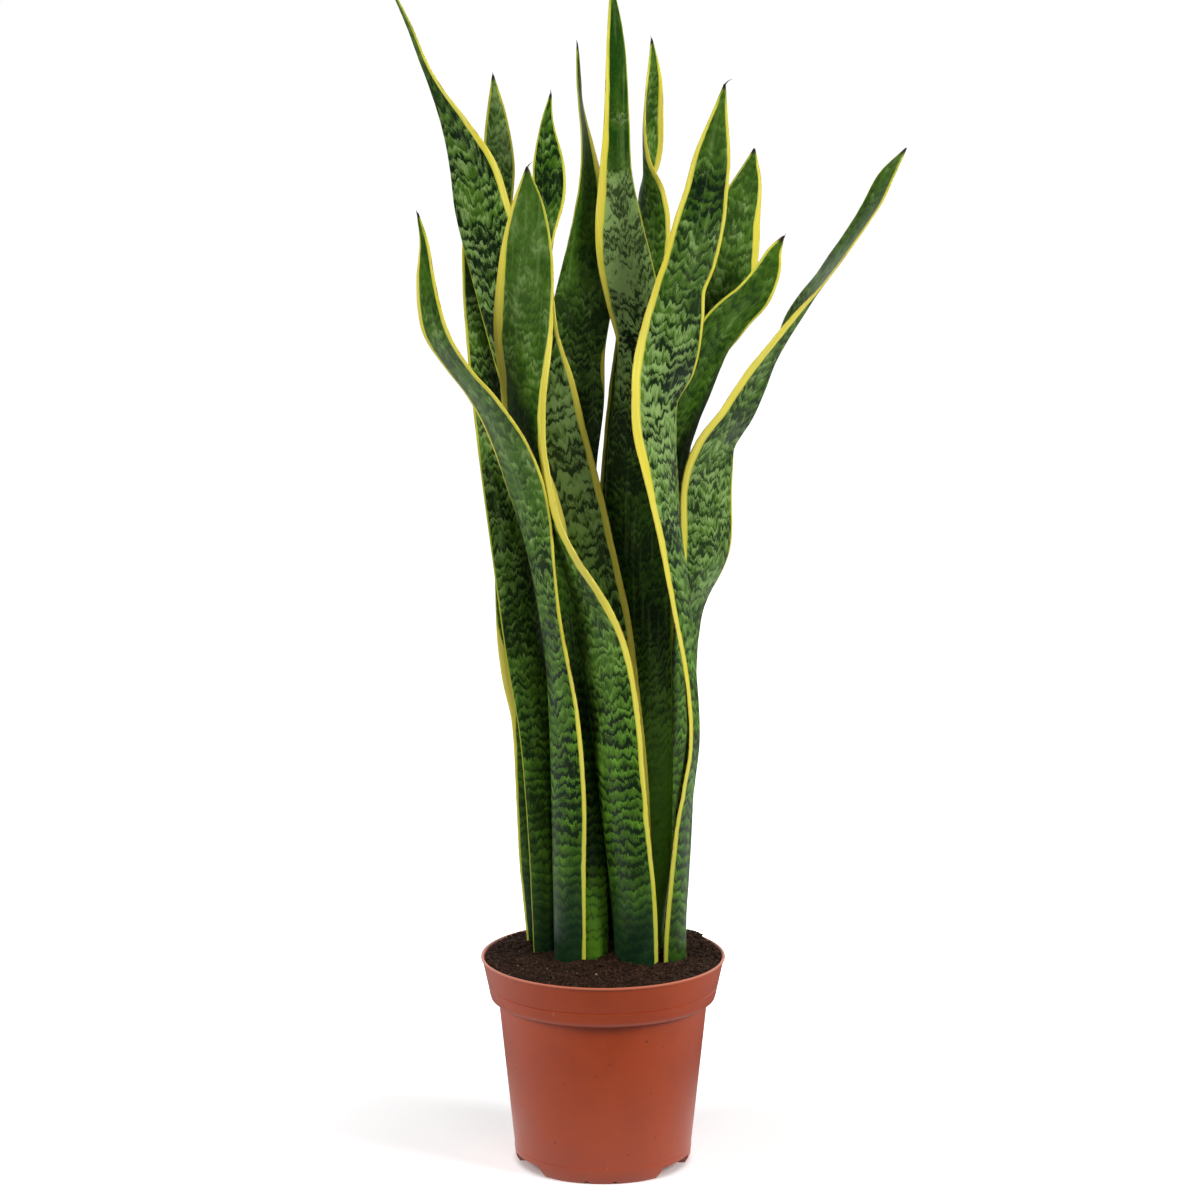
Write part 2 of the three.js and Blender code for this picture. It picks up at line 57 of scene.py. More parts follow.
# A blade's thickness at its rib and margins, how it ends at its tip, and how its mesh is laid out.
BLADE = {
    "base_rib": 4.6,
    "tip_rib": 1.8,
    "tip_height": 1000,
    "margin": 1.0,
    "margin_power": 24,
    "tip_taper": 6.0,
    "tip_share": 0.35,
    "least_width": 1.2,
    "least_curl": 1e-3,
    "aim": 0.5,
    "columns": 22,
    "spread": 0.86,
    "row_step": 5.0,
    "row_crowding": 0.02,
}
# Waves along a blade's margins, which fade out at its tip and its foot.
RIPPLE = {
    "long": 16,
    "long_size": 0.5,
    "short": 5,
    "short_size": 0.25,
    "tip_fade": 40,
    "foot": 190,
    "foot_fade": 30,
    "left_share": -0.8,
}
# A blade's shallow hollows: how many across half of it, how long they are and how deep.
CREASE = {"across": 3.2, "length": 140, "depth": 0.35}
LEAF_SEED = 7.3
# Points of a mesh that are closer than this are joined, and shorter slivers are taken out.
MERGE = {"spun": 0.01, "blade": 0.02, "cut": 0.1, "sliver": 0.05}

# Each leaf from the base up: height, x and y of the midrib, width, turn and curl in degrees.
LEAVES = {
    "leaf_front_left": [
        (150, -35, -17, 43, -42, 150),
        (182, -35, -17, 44, -42, 150),
        (251, -36, -17, 46, -44, 145),
        (323, -37, -17, 49, -46, 135),
        (393, -40, -18, 46, -52, 115),
        (449, -45, -21, 42, -62, 90),
        (485, -50, -25, 42, -64, 75),
        (520, -54.5, -28, 42, -58, 65),
        (560, -61, -28, 46, -50, 60),
        (594, -68.5, -30, 47, -42, 50),
        (630, -81.5, -33, 44, -42, 45),
        (665, -101, -36, 38, -46, 40),
        (692, -121.5, -39, 37, -50, 35),
        (718, -137.5, -43, 37, -48, 30),
        (742, -143.5, -47, 31, -46, 25),
        (769, -146, -50, 23, -45, 20),
        (798, -146.5, -52, 11, -45, 10),
        (823, -151.5, -53, 1.6, -45, 0),
    ],
    "leaf_front_centre": [
        (150, 20, -22, 55, -42, 130),
        (183, 20, -22, 58, -42, 130),
        (234, 17, -22, 61, -42, 122),
        (284, 12, -23, 62, -42, 116),
        (340, 6, -23, 64, -42, 112),
        (402, 0, -22, 66, -43, 108),
        (453, -9, -22, 66, -46, 105),
        (489, -19, -22, 62, -58, 100),
        (527, -33, -22, 57, -78, 98),
        (560, -44, -22, 55, -91, 98),
        (600, -55.5, -21, 55, -86, 98),
        (638, -66, -21, 57, -55, 25),
        (682, -67.5, -25, 57, -44, 10),
        (730, -66.9, -31, 53, -20, 20),
        (786, -63.5, -44, 45.5, -15, 30),
        (829, -61.5, -53, 27.5, -15, 20),
        (861, -62, -59, 1.6, -15, 0),
    ],
    "leaf_front_right": [
        (150, 69, -9, 46, 75, 140),
        (182, 69, -9, 48, 75, 140),
        (204, 69, -9, 49, 78, 136),
        (253, 70, -9, 51, 86, 122),
        (300, 72, -10, 54, 90, 100),
        (335, 76, -11, 56, 90, 78),
        (377, 80, -12, 57, 91, 66),
        (434, 77, -14, 59, 90, 68),
        (490, 72, -16, 60, 79, 70),
        (548, 63, -16, 61, 73, 66),
        (590, 56.5, -15, 62, 64, 55),
        (638, 47.5, -13, 61, 52, 40),
        (662, 46.5, -13, 59, 46, 34),
        (693, 52.5, -13, 59, 24, 23),
        (733, 60, -15, 53, 18, 20),
        (758, 64.5, -18, 46, 17, 20),
        (779, 72, -21, 46, 15, 20),
        (811, 79.5, -26, 44, 12, 20),
        (836, 84.5, -30, 37.5, 8, 20),
        (868, 89.5, -35, 30.5, 5, 15),
        (902, 95, -40, 14, 5, 5),
        (927, 99, -43, 1.6, 5, 0),
    ],
    "leaf_left": [
        (150, -41, 18, 40, 50, 130),
        (182, -41, 18, 42, 50, 130),
        (284, -44, 19, 46, 50, 110),
        (376, -50, 21, 50, 50, 95),
        (442, -60, 23, 52, 48, 85),
        (522, -70, 27, 54, 46, 75),
        (591, -79.5, 35, 54, 45, 65),
        (657, -88, 43, 54, 45, 50),
        (718, -94, 50, 52, 40, 40),
        (760, -97, 53, 49, 34, 30),
        (799, -97.5, 57, 42, 24, 25),
        (849, -87.5, 62, 27, 10, 20),
        (877, -89, 66, 23, 5, 15),
        (901, -90.5, 70, 15, 5, 10),
        (929, -93, 74, 1.6, 5, 0),
    ],
    "leaf_centre_left": [
        (150, -6, -10, 34, 15, 140),
        (182, -6, -10, 35, 15, 140),
        (260, -8, -5, 38, 22, 120),
        (340, -13, 4, 40, 24, 95),
        (404, -18, 11, 43, 18, 80),
        (472, -24, 16, 46, 8, 60),
        (540, -29, 18, 49, 5, 35),
        (600, -31, 19, 51, 2, 5),
        (659, -25, 20, 52, 5, -25),
        (703, -24, 20, 52, 8, -40),
        (750, -17, 20, 51, 12, -55),
        (794, -14, 21, 41, 24, -70),
        (838, -13, 23, 29, 38, -80),
        (875, -15.5, 25, 21, 62, -60),
        (909, -19.5, 27, 12, 72, -30),
        (943, -21, 29, 5, 60, -10),
        (957, -21.5, 30, 1.6, 60, 0),
    ],
    "leaf_centre_tall": [
        (150, 37, 8, 30, -10, 140),
        (182, 37, 8, 32, -10, 140),
        (263, 36, 9, 46, -16, 90),
        (360, 33, 10, 54, -20, 60),
        (456, 30, 10, 58, -20, 45),
        (542, 28, 11, 58, -14, 40),
        (616, 31, 11, 56, -4, 35),
        (672, 35, 10, 51, 4, 30),
        (710, 36, 10, 49, 8, 30),
        (750, 25, 10, 48, 14, 30),
        (781, 18, 10, 47, 15, 30),
        (811, 13.5, 10, 41, 15, 30),
        (850, 11, 10, 29, 15, 30),
        (890, 11.5, 11, 23, 15, 25),
        (943, 11, 12, 18, 15, 20),
        (967, 10, 13, 14, 15, 15),
        (993, 8, 14, 6.5, 15, 5),
        (1003, 7, 14, 1.6, 15, 0),
    ],
    "leaf_centre_back": [
        (150, 26, -8, 38, -42, 130),
        (183, 26, -8, 40, -42, 130),
        (260, 22, -8, 44, -42, 100),
        (340, 17, -6, 47, -42, 80),
        (404, 10, -3, 48, -38, 65),
        (472, 0, -2, 49, -26, 55),
        (523, -12, 0, 50, -20, 45),
        (575, -24, 4, 50, -12, 35),
        (636, -38, 5, 47, -10, 30),
        (672, -45, 6, 44, -14, 30),
        (715, -54, 6, 37, -26, 25),
        (760, -54, 4, 33, -45, 25),
        (796, -48, 6, 30, -68, 25),
        (837, -45, 10, 29, -20, 25),
        (860, -45.5, 13, 26, -5, 20),
        (892, -46.5, 17, 11, -5, 10),
        (916, -43.5, 20, 1.6, -5, 0),
    ],
    "leaf_back_left_tall": [
        (150, -17, 27, 38, -20, 130),
        (182, -17, 27, 40, -20, 130),
        (280, -18, 29, 44, -18, 100),
        (380, -20, 32, 48, -16, 80),
        (480, -24, 33, 50, -14, 60),
        (540, -34, 30, 51, -14, 50),
        (600, -47, 28, 51, -14, 43),
        (660, -60, 27, 51, -14, 35),
        (718, -75, 25, 52, -14, 30),
        (771, -88, 25, 53, -14, 30),
        (816, -101, 26, 50, -16, 30),
        (852, -109.5, 28, 44, -20, 30),
        (888, -124.5, 30, 31, -36, 25),
        (918, -139.5, 33, 19, -52, 20),
        (942, -150.5, 36, 12, -58, 20),
        (969, -161, 40, 8, -54, 10),
        (1003, -177, 46, 1.6, -50, 0),
    ],
    "leaf_back_left_low": [
        (150, -49, 39, 34, 30, 130),
        (183, -49, 39, 36, 30, 130),
        (250, -54, 39, 38, 34, 115),
        (300, -56, 39, 39, 36, 100),
        (380, -60, 39, 40, 40, 90),
        (420, -67, 38, 43, 40, 78),
        (456, -70, 39, 46, 40, 70),
        (520, -74, 42, 44, 42, 50),
        (600, -84, 48, 36, 44, 40),
        (660, -90, 57, 22, 45, 30),
        (700, -93, 61, 1.6, 45, 0),
    ],
    "leaf_right_arching": [
        (150, 60, 30, 40, 22, 140),
        (182, 60, 30, 42, 22, 140),
        (272, 64, 31, 48, 30, 110),
        (360, 70, 31, 54, 50, 80),
        (443, 74, 33, 57, 60, 60),
        (480, 78, 33, 58, 56, 50),
        (525, 91, 32, 60, 42, 45),
        (583, 92, 31, 60, 40, 45),
        (616, 99, 30, 60, 48, 45),
        (643, 117, 33, 57, 52, 45),
        (681, 138.5, 39, 54, 62, 50),
        (725, 166, 45, 46, 92, 100),
        (763, 190, 50, 38.5, 104, 35),
        (791, 211, 55, 30.5, 112, 60),
        (819, 228.5, 60, 26.5, 122, 50),
        (845, 240.5, 65, 18.5, 135, 25),
        (868, 256.5, 69, 1.6, 135, 0),
    ],
    "leaf_back_twisted": [
        (150, -1, 46, 34, 180, -130),
        (182, -1, 46, 36, 180, -130),
        (300, 4, 47, 42, 180, -90),
        (420, 10, 47, 45, 179, -60),
        (540, 16, 47, 45, 175, -50),
        (640, 22, 43, 44, 168, -55),
        (720, 29, 43, 43, 158, -70),
        (770, 34, 48, 43, 150, -85),
        (808, 37, 53, 42, 140, -100),
        (834, 34.5, 56, 40, 122, -120),
        (851, 35, 59, 38, 82, -125),
        (869, 36, 62, 35.5, 62, -130),
        (891, 37.5, 66, 30.5, 50, -130),
        (925, 41.5, 73, 18, 35, -90),
        (943, 42, 77, 9, 35, -50),
        (959, 41, 80, 1.6, 35, 0),
    ],
    "leaf_back_right": [
        (150, 46, 46, 34, 5, 130),
        (182, 46, 46, 36, 5, 130),
        (300, 50, 50, 42, 5, 90),
        (420, 52, 52, 46, 5, 60),
        (540, 50, 53, 49, 8, 45),
        (620, 52, 52, 50, 10, 35),
        (665, 66, 52, 51, 12, 30),
        (704, 84, 55, 52, 14, 30),
        (741, 102.5, 61, 52.5, 14, 30),
        (781, 110, 70, 49.5, 14, 30),
        (806, 114, 77, 43.5, 14, 25),
        (839, 124, 87, 24.5, 14, 20),
        (866, 129, 94, 1.6, 14, 0),
    ],
    "leaf_back_right_low": [
        (150, 24, 34, 32, 0, 130),
        (182, 24, 34, 34, 0, 130),
        (300, 30, 34, 42, 5, 90),
        (420, 36, 32, 46, 12, 60),
        (540, 44, 30, 48, 20, 50),
        (613, 56, 28, 47, 24, 60),
        (644, 67, 27, 46, 27, 65),
        (672, 79, 27, 46, 28, 70),
        (705, 93, 26, 43, 28, 60),
        (726, 108, 28, 41, 25, 40),
        (746, 127.5, 31, 36, 28, 25),
        (766, 139, 34, 27, 30, 20),
        (783, 144.5, 37, 15, 30, 10),
        (796, 152, 40, 1.6, 30, 0),
    ],
}

# How each leaf is marked, by height: width in mm of the yellow at its left and right margin, how
# dark the rows of marks are, and how light the green between them is, which on two blades also
# holds painted light and painted shade.
MARKS = {
    "leaf_front_left": [
        (150, 3, 3.5, 0.6, 0.1),
        (230, 3, 4, 0.9, 0.3),
        (330, 3, 4, 1.0, 0.42),
        (430, 3, 3, 1.0, 0.42),
        (560, 3, 2.2, 0.85, 0.42),
        (620, 4, 2.5, 0.55, 0.42),
        (680, 8, 3.5, 0.6, 0.42),
        (740, 8, 3.5, 0.5, 0.35),
        (800, 2.5, 2.5, 0.3, 0.3),
    ],
    "leaf_front_centre": [
        (150, 3, 4, 0.8, 0.15),
        (240, 3, 4, 1.0, 0.36),
        (380, 4, 4.5, 1.0, 0.46),
        (450, 6, 5.5, 0.85, 0.52),
        (560, 8, 8, 0.6, 0.45),
        (600, 10, 9, 0.5, 0.1),
        (640, 10, 9, 0.5, 0.15),
        (700, 10, 5.5, 0.5, 0.45),
        (746, 9, 3, 0.35, 0.54),
        (797, 5, 2.2, 0.2, 0.54),
        (858, 1.5, 1, 0.1, 0.42),
    ],
    "leaf_front_right": [
        (150, 3.5, 2, 0.7, 0.35),
        (300, 4, 2, 0.9, 0.5),
        (380, 5, 2, 0.9, 0.5),
        (480, 5, 2, 0.95, 0.5),
        (560, 6, 2.2, 1.0, 0.55),
        (640, 8.5, 2.2, 1.0, 0.7),
        (700, 7.5, 2.5, 1.0, 0.62),
        (760, 5, 3.5, 0.85, 0.4),
        (806, 4.5, 3.5, 0.8, 0.45),
        (826, 4.5, 3.5, 1.1, 0.15),
        (846, 4.5, 3.5, 1.0, 0.2),
        (864, 4, 3.3, 0.5, 0.4),
        (900, 2.5, 2.5, 0.3, 0.42),
    ],
    "leaf_left": [
        (150, 0.8, 1.5, 0.6, 0.3),
        (400, 0.8, 2, 0.85, 0.5),
        (700, 2, 2.5, 0.9, 0.5),
        (790, 2.2, 2.5, 0.8, 0.6),
        (900, 2, 2, 0.5, 0.7),
    ],
    "leaf_centre_left": [
        # the light green at the foot and the dark green from 270 to 480 mm are painted light and
        # painted shade: the foot lit, the part above it in shadow
        (150, 1, 2, 0.5, 1.2),
        (225, 1, 2, 0.6, 1.0),
        (270, 0.6, 1, 0.9, 0.3),
        (400, 0.5, 1, 0.9, 0.0),
        (480, 0.5, 0.5, 0.8, 0.2),
        (600, 0.5, 0.4, 0.8, 0.35),
        (662, 0.5, 0.5, 0.85, 0.35),
        (680, 0.5, 3.5, 0.85, 0.35),
        (700, 0.5, 3, 0.85, 0.35),
        (712, 0.5, 0.6, 0.8, 0.35),
        (750, 0.5, 2, 0.6, 0.35),
        (780, 0.5, 6.5, 0.5, 0.3),
        (850, 1.5, 5.5, 0.3, 0.35),
        (950, 0.8, 1, 0.3, 0.3),
    ],
    "leaf_centre_tall": [
        # the light green up to 400 mm and the dark green from 450 to 640 mm are painted light and
        # painted shade: the foot lit, the part above it in shadow
        (150, 0.6, 1, 0.12, 0.95),
        (330, 0.6, 1, 0.2, 0.9),
        (400, 0.6, 1, 0.6, 0.75),
        (450, 0.6, 1, 0.8, 0.4),
        (480, 0.6, 1, 0.7, 0.15),
        (640, 0.3, 1.2, 0.85, 0.45),
        (700, 0.6, 1.4, 1.0, 0.75),
        (725, 3, 1.4, 1.0, 0.8),
        (760, 5, 1.5, 0.85, 0.95),
        (810, 7, 1.5, 0.85, 1.0),
        (845, 7, 1.5, 0.8, 0.8),
        (860, 6, 1.5, 0.4, 0.35),
        (878, 5, 1.5, 0.1, 0.05),
        (886, 4.5, 1.5, 0.1, 0.1),
        (893, 4, 1.5, 0.6, 0.62),
        (901, 4, 1.5, 0.6, 0.55),
        (909, 4, 1.4, 0.1, 0.15),
        (1000, 1.5, 0.5, 0.25, 0.15),
    ],
    "leaf_centre_back": [
        (150, 0.8, 3.5, 0.8, 0.4),
        (500, 0.8, 5.5, 0.9, 0.75),
        (650, 1.5, 5.5, 0.9, 0.8),
        (720, 2.5, 3, 1.0, 0.4),
        (850, 2, 2.2, 1.0, 0.3),
        (910, 1, 1, 0.8, 0.3),
    ],
    "leaf_back_left_tall": [
        (150, 2, 3, 0.8, 0.4),
        (600, 2.0, 4, 0.9, 0.55),
        (700, 1.5, 5, 1.0, 0.6),
        (800, 0.5, 5.5, 1.0, 0.55),
        (880, 0.5, 5, 1.0, 0.35),
        (930, 0.8, 3, 0.8, 0.3),
        (1000, 0.8, 1, 0.3, 0.3),
    ],
    "leaf_back_left_low": [
        (150, 2.5, 2, 0.7, 0.3),
        (370, 3, 2, 0.7, 0.35),
        (425, 9, 3, 0.7, 0.35),
        (470, 1.5, 2, 0.7, 0.4),
        (560, 0.5, 1, 0.7, 0.4),
        (700, 0.8, 1, 0.5, 0.4),
    ],
    "leaf_right_arching": [
        (150, 3, 3, 0.7, 0.4),
        (400, 4, 3.5, 0.85, 0.5),
        (480, 5, 3.5, 0.85, 0.55),
        (560, 6, 4, 0.9, 0.6),
        (640, 7.5, 2, 0.85, 0.5),
        (700, 7.5, 0.6, 0.8, 0.45),
        (750, 6, 0.6, 0.6, 0.4),
        (800, 4.5, 0.8, 0.5, 0.35),
        (860, 1.2, 1.2, 0.4, 0.35),
    ],
    "leaf_back_twisted": [
        (150, 3, 3, 0.7, 0.35),
        (700, 4, 4, 0.7, 0.4),
        (850, 4.5, 4.5, 0.7, 0.45),
        (900, 4, 5, 0.6, 0.5),
        (950, 1, 1, 0.5, 0.4),
    ],
    "leaf_back_right": [
        (150, 2, 3, 0.7, 0.35),
        (600, 2.2, 4, 0.7, 0.35),
        (700, 2.5, 6, 0.6, 0.38),
        (800, 2.5, 7, 0.6, 0.45),
        (850, 1.5, 3, 0.4, 0.4),
    ],
    "leaf_back_right_low": [
        (150, 2, 2, 0.7, 0.35),
        (600, 2, 2, 0.7, 0.35),
        (700, 2.2, 2.5, 0.6, 0.3),
        (740, 2.2, 4, 0.5, 0.35),
        (790, 2, 3.5, 0.4, 0.4),
    ],
}

# The rows of dark marks: their distance in mm, how far they bend into a V and how dense they are.
ROWS = {
    "leaf_front_left": (9.5, 0.1, 0.0),
    "leaf_front_centre": (9.5, 0.1, 0.0),
    "leaf_front_right": (10.5, 0.2, 0.0),
    "leaf_left": (9.0, 0.05, 0.15),
    "leaf_centre_left": (9.0, 0.1, 0.0),
    "leaf_centre_tall": (8.5, 0.6, 0.22),
    "leaf_centre_back": (10.5, 0.15, 0.0),
    "leaf_back_left_tall": (11.0, 0.5, 0.15),
    "leaf_back_left_low": (9.0, 0.1, 0.0),
    "leaf_right_arching": (9.5, 0.2, 0.0),
    "leaf_back_twisted": (9.0, 0.2, 0.0),
    "leaf_back_right": (10.5, 0.2, 0.0),
    "leaf_back_right_low": (9.5, 0.1, 0.0),
}

# The dry hair at the end of a blade: length, lean sideways in degrees and how far it bends on.
HAIRS = {
    "leaf_front_centre": (7.0, 20, 45),
    "leaf_front_right": (8.0, 20, 60),
    "leaf_front_left": (4.0, -20, 10),
    "leaf_centre_left": (4.5, -5, -10),
    "leaf_centre_back": (5.0, 5, -15),
    "leaf_left": (4.0, -5, 5),
    "leaf_back_right_low": (4.0, 30, -10),
    "leaf_back_twisted": (4.0, -8, -10),
}
HAIR = {"foot_radius": 0.75, "tip_radius": 0.12, "sunk": 1.5, "sides": 8, "cuts": 7}

# The pot's outside from the foot up, then over the lip and down to the floor: radius and height.
POT_OUTSIDE = [
    (69.0, 11.0),
    (70.0, 0.0),
    (72.6, 0.0),
    (76.0, 6.0),
    (76.75, 14.0),
    (76.45, 14.3),
    (77.05, 20.0),
    (90.0, 144.5),
    (94.6, 144.9),
    (96.5, 146.4),
    (97.4, 149.4),
    (99.0, 157.2),
    (98.5, 157.7),
    (99.2, 158.3),
    (103.7, 179.0),
    (103.9, 179.7),
    (104.7, 180.1),
    (105.0, 180.8),
    (104.9, 181.5),
    (104.4, 181.95),
    (103.7, 182.0),
    (103.0, 181.7),
    (102.3, 180.8),
    (102.0, 179.6),
    (96.0, 151.0),
    (88.2, 145.7),
    (74.9, 13.5),
]
POT_FLOOR = {"bottom": 11.0, "top": 13.5}
POT_STEPS = 192
# The arches through the foot: widths from the foot up, and how their upper corners are rounded.
ARCH = {
    "count": 3,
    "azimuth": -62,
    "foot": 49,
    "shoulder": 44,
    "top": 38,
    "height": 9.5,
    "shoulder_drop": 1.5,
    "round": 1.2,
    "round_drop": 0.4,
    "from": 40,
    "to": 86,
}
NICK = {"offsets": (-9, 10), "circle": 72, "radius": 2.6, "length": 16}
DRAIN = {"count": 6, "circle": 46, "height": 12, "radius": 5, "length": 12}
ROD_SIDES = 32
BEVEL = {"width": 0.35, "segments": 2, "angle": 38}
FLAT_ANGLE = 0.05
# A slanting direction, along which the parts of a cut mesh are put in order.
SORT_WAY = Vector((7.13, 13.71, 29.37))

SOIL = {
    "radius": 102.0,
    "edge": 179.9,
    "crown": 180.6,
    "crown_radius": 60.0,
    "rim_share": 0.35,
    "rim_fade": 6,
    "rings": 72,
    "steps": 256,
}
# The peat's underside and its side against the pot: radius and height.
SOIL_WALL = [(0.0, 13.8), (74.3, 13.8), (87.7, 146.0), (95.6, 151.4)]
# The peat's roughness: size of the clods, place in the noise and rise.
CLODS = [(22, 3, 2.2), (7, 8, 1.8), (2.4, 5, 0.7)]
# Heaps of peat: rise, x and y of the middle, half width and half depth.
HEAPS = [(8.0, 80, 50, 22, 20), (4.0, 12, 8, 16, 20), (4.0, -74, 52, 22, 22)]
# Peat pushed up round the foot of each leaf, in patches of a size and a place in the noise.
LEAF_HEAP = {
    "rise": 1.1,
    "reach": 0.42,
    "spread": 7,
    "share": 0.6,
    "patch": 9,
    "place": 21,
}
CRUMB = {
    "rim": 1.5,
    "tilt": 0.6,
    "heights": (0.5, 0.9),
    "raised": 0.25,
    "lump": 0.35,
    "lump_scale": 900,
    "batch": 60,
}
# Crumbs by kind: how many, least and greatest radius, least and greatest stretch, and seed.
CRUMBS = {
    "peat_crumbs": (8600, (0.4, 1.9), (0.8, 1.9), 11),
    "pale_flecks": (60, (0.3, 0.8), (1.0, 3.0), 12),
}


# ---- Meshes ----


def millimetres(x, y, z):
    """A point given in millimetres from the pot's axis, in the part's frame."""
    return AXIS + Vector((x, y, z)) * MM


def new_object(name, bm):
    """A bmesh as an object that stays at the origin."""
    mesh = bpy.data.meshes.new(name)
    bm.to_mesh(mesh)
    bm.free()
    piece = bpy.data.objects.new(name, mesh)
    bpy.context.scene.collection.objects.link(piece)
    return piece


def dress(piece, material, smooth=True):
    """Gives a piece its only material and its shading."""
    piece.data.materials.clear()
    piece.data.materials.append(material)
    for polygon in piece.data.polygons:
        polygon.use_smooth = smooth
    return piece


def add_modifier(piece, kind, **values):
    modifier = piece.modifiers.new(kind.lower(), kind)
    for key, value in values.items():
        setattr(modifier, key, value)


def spun(profile, steps):
    """A closed bmesh made by spinning a profile of radii and heights about the pot's axis."""
    bm = bmesh.new()
    verts = [bm.verts.new(millimetres(radius, 0, z)) for radius, z in profile]
    edges = [bm.edges.new(pair) for pair in zip(verts, verts[1:])]
    bmesh.ops.spin(
        bm,
        geom=verts + edges,
        cent=AXIS,
        axis=(0, 0, 1),
        angle=2 * math.pi,
        steps=steps,
        use_merge=True,
    )
    bmesh.ops.remove_doubles(bm, verts=bm.verts, dist=MERGE["spun"] * MM)
    return bm


# ---- Leaf blades ----


def column_at(stations, column, z):
    """Smooth value of one column of the stations at a height: a cubic through them all."""
    last = len(stations) - 1
    k = 0
    while k < last - 1 and z > stations[k + 1][0]:
        k += 1

    def slope(i):
        below, above = stations[max(i - 1, 0)], stations[min(i + 1, last)]
        return (above[column] - below[column]) / (above[0] - below[0])

    span = stations[k + 1][0] - stations[k][0]
    t = (z - stations[k][0]) / span
    rise = t * t * (3 - 2 * t)
    bend = span * t * (1 - t) * ((1 - t) * slope(k) - t * slope(k + 1))
    return stations[k][column] * (1 - rise) + stations[k + 1][column] * rise + bend


def blade_frame(stations, z):
    """The blade's centre and its own axes at a height: across it and into its channel."""
    low = max(z - BLADE["aim"], stations[0][0])
    high = min(z + BLADE["aim"], stations[-1][0])

    def point(h):
        return Vector((column_at(stations, 1, h), column_at(stations, 2, h), h))

    along = (point(high) - point(low)).normalized()
    turn = math.radians(column_at(stations, 4, z))
    across = Vector((math.cos(turn), math.sin(turn), 0))
    across = (across - along * across.dot(along)).normalized()
    return point(z), across, along.cross(across)


class Row:
    """One cross-section of a blade: an arc of the leaf's width and curl at a height."""

    def __init__(self, stations, marks, z, seed):
        self.z, self.seed = z, seed
        held = min(max(z, marks[0][0]), marks[-1][0])
        self.left, self.right = column_at(marks, 1, held), column_at(marks, 2, held)
        self.bands, self.tone = column_at(marks, 3, held), column_at(marks, 4, held)
        self.centre, self.across, self.inward = blade_frame(stations, z)
        self.width = max(column_at(stations, 3, z), BLADE["least_width"])
        self.curl = math.radians(column_at(stations, 5, z))
        if abs(self.curl) < BLADE["least_curl"]:
            self.curl = BLADE["least_curl"]
        rise = (z - LEAF_BASE) / (BLADE["tip_height"] - LEAF_BASE)
        self.rib = BLADE["base_rib"] + (BLADE["tip_rib"] - BLADE["base_rib"]) * rise
        top = stations[-1][0]
        self.tip = max(0.0, min(1.0, (top - z) / BLADE["tip_taper"]))
        wave = noise.noise(Vector((z / RIPPLE["long"], seed, 0))) * RIPPLE["long_size"]
        wave += noise.noise(Vector((z / RIPPLE["short"], seed, 4))) * RIPPLE["short_size"]
        below_tip = min(1.0, (top - z) / RIPPLE["tip_fade"])
        above_foot = min(1.0, max(0.0, (z - RIPPLE["foot"]) / RIPPLE["foot_fade"]))
        self.wave = wave * (below_tip * above_foot)

    def point(self, u, side):
        """A point at u, from -1 to 1 across the blade, on its outer (-1) or inner (1) face."""
        angle = u * self.curl / 2
        radius = self.width / self.curl
        middle = self.centre + self.across * (radius * math.sin(angle))
        middle += self.inward * (radius * (1 - math.cos(angle)))
        normal = self.inward * math.cos(angle) - self.across * math.sin(angle)
        flat = 1 - u * u
        half = (BLADE["margin"] + (self.rib - BLADE["margin"]) * flat) / 2
        half *= math.sqrt(max(0.0, 1 - abs(u) ** BLADE["margin_power"]))
        half *= BLADE["tip_share"] + (1 - BLADE["tip_share"]) * self.tip
        ripple = self.wave * abs(u) ** 3 * (1 if u > 0 else RIPPLE["left_share"])
        place = Vector((u * CREASE["across"], self.z / CREASE["length"], self.seed + 9))
        crease = noise.noise(place) * CREASE["depth"] * flat
        return middle + normal * (half * side + ripple + crease)


def across_at(share):
    """Position across the blade, from -1 to 1, with closer columns near the margins."""
    half_turn = math.pi * BLADE["spread"] / 2
    return math.sin((share * 2 - 1) * half_turn) / math.sin(half_turn)


def blade_piece(name, stations, marks, seed, material):
    """A leaf rolled from a grid: its outer face, then back along its inner face."""
    low, high = stations[0][0], stations[-1][0]
    rows = round((high - low) / BLADE["row_step"])
    bm = bmesh.new()
    blade = bm.verts.layers.float_vector.new("blade")
    margins = bm.verts.layers.float_vector.new("margins")
    growth = bm.verts.layers.float_vector.new("growth")
    columns = BLADE["columns"]
    around = columns * 2
    bmesh.ops.create_grid(bm, x_segments=around, y_segments=rows, size=0.5)
    sections = {}
    for vert in bm.verts:
        i, j = round((vert.co.x + 0.5) * around), round((vert.co.y + 0.5) * rows)
        if j not in sections:
            rise = j / rows
            rise += BLADE["row_crowding"] * rise * (1 - rise)
            sections[j] = Row(stations, marks, low + (high - low) * rise, seed)
        row = sections[j]
        outer = i <= columns
        u = across_at((i if outer else around - i) / columns)
        vert.co = millimetres(*row.point(u, -1 if outer else 1))
        vert[blade] = Vector((u * row.width / 2, row.z, row.width / 2)) * MM
        vert[margins] = Vector((row.left, row.right, high - row.z)) * MM
        vert[growth] = Vector((row.bands, row.tone, 0.0 if outer else 1.0))
    bmesh.ops.remove_doubles(bm, verts=bm.verts, dist=MERGE["blade"] * MM)
    bmesh.ops.holes_fill(bm, edges=bm.edges, sides=around + 2)
    bmesh.ops.recalc_face_normals(bm, faces=bm.faces)
    piece = dress(new_object(name.replace("leaf", "blade"), bm), material)
    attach(piece, "root")
    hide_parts(name)


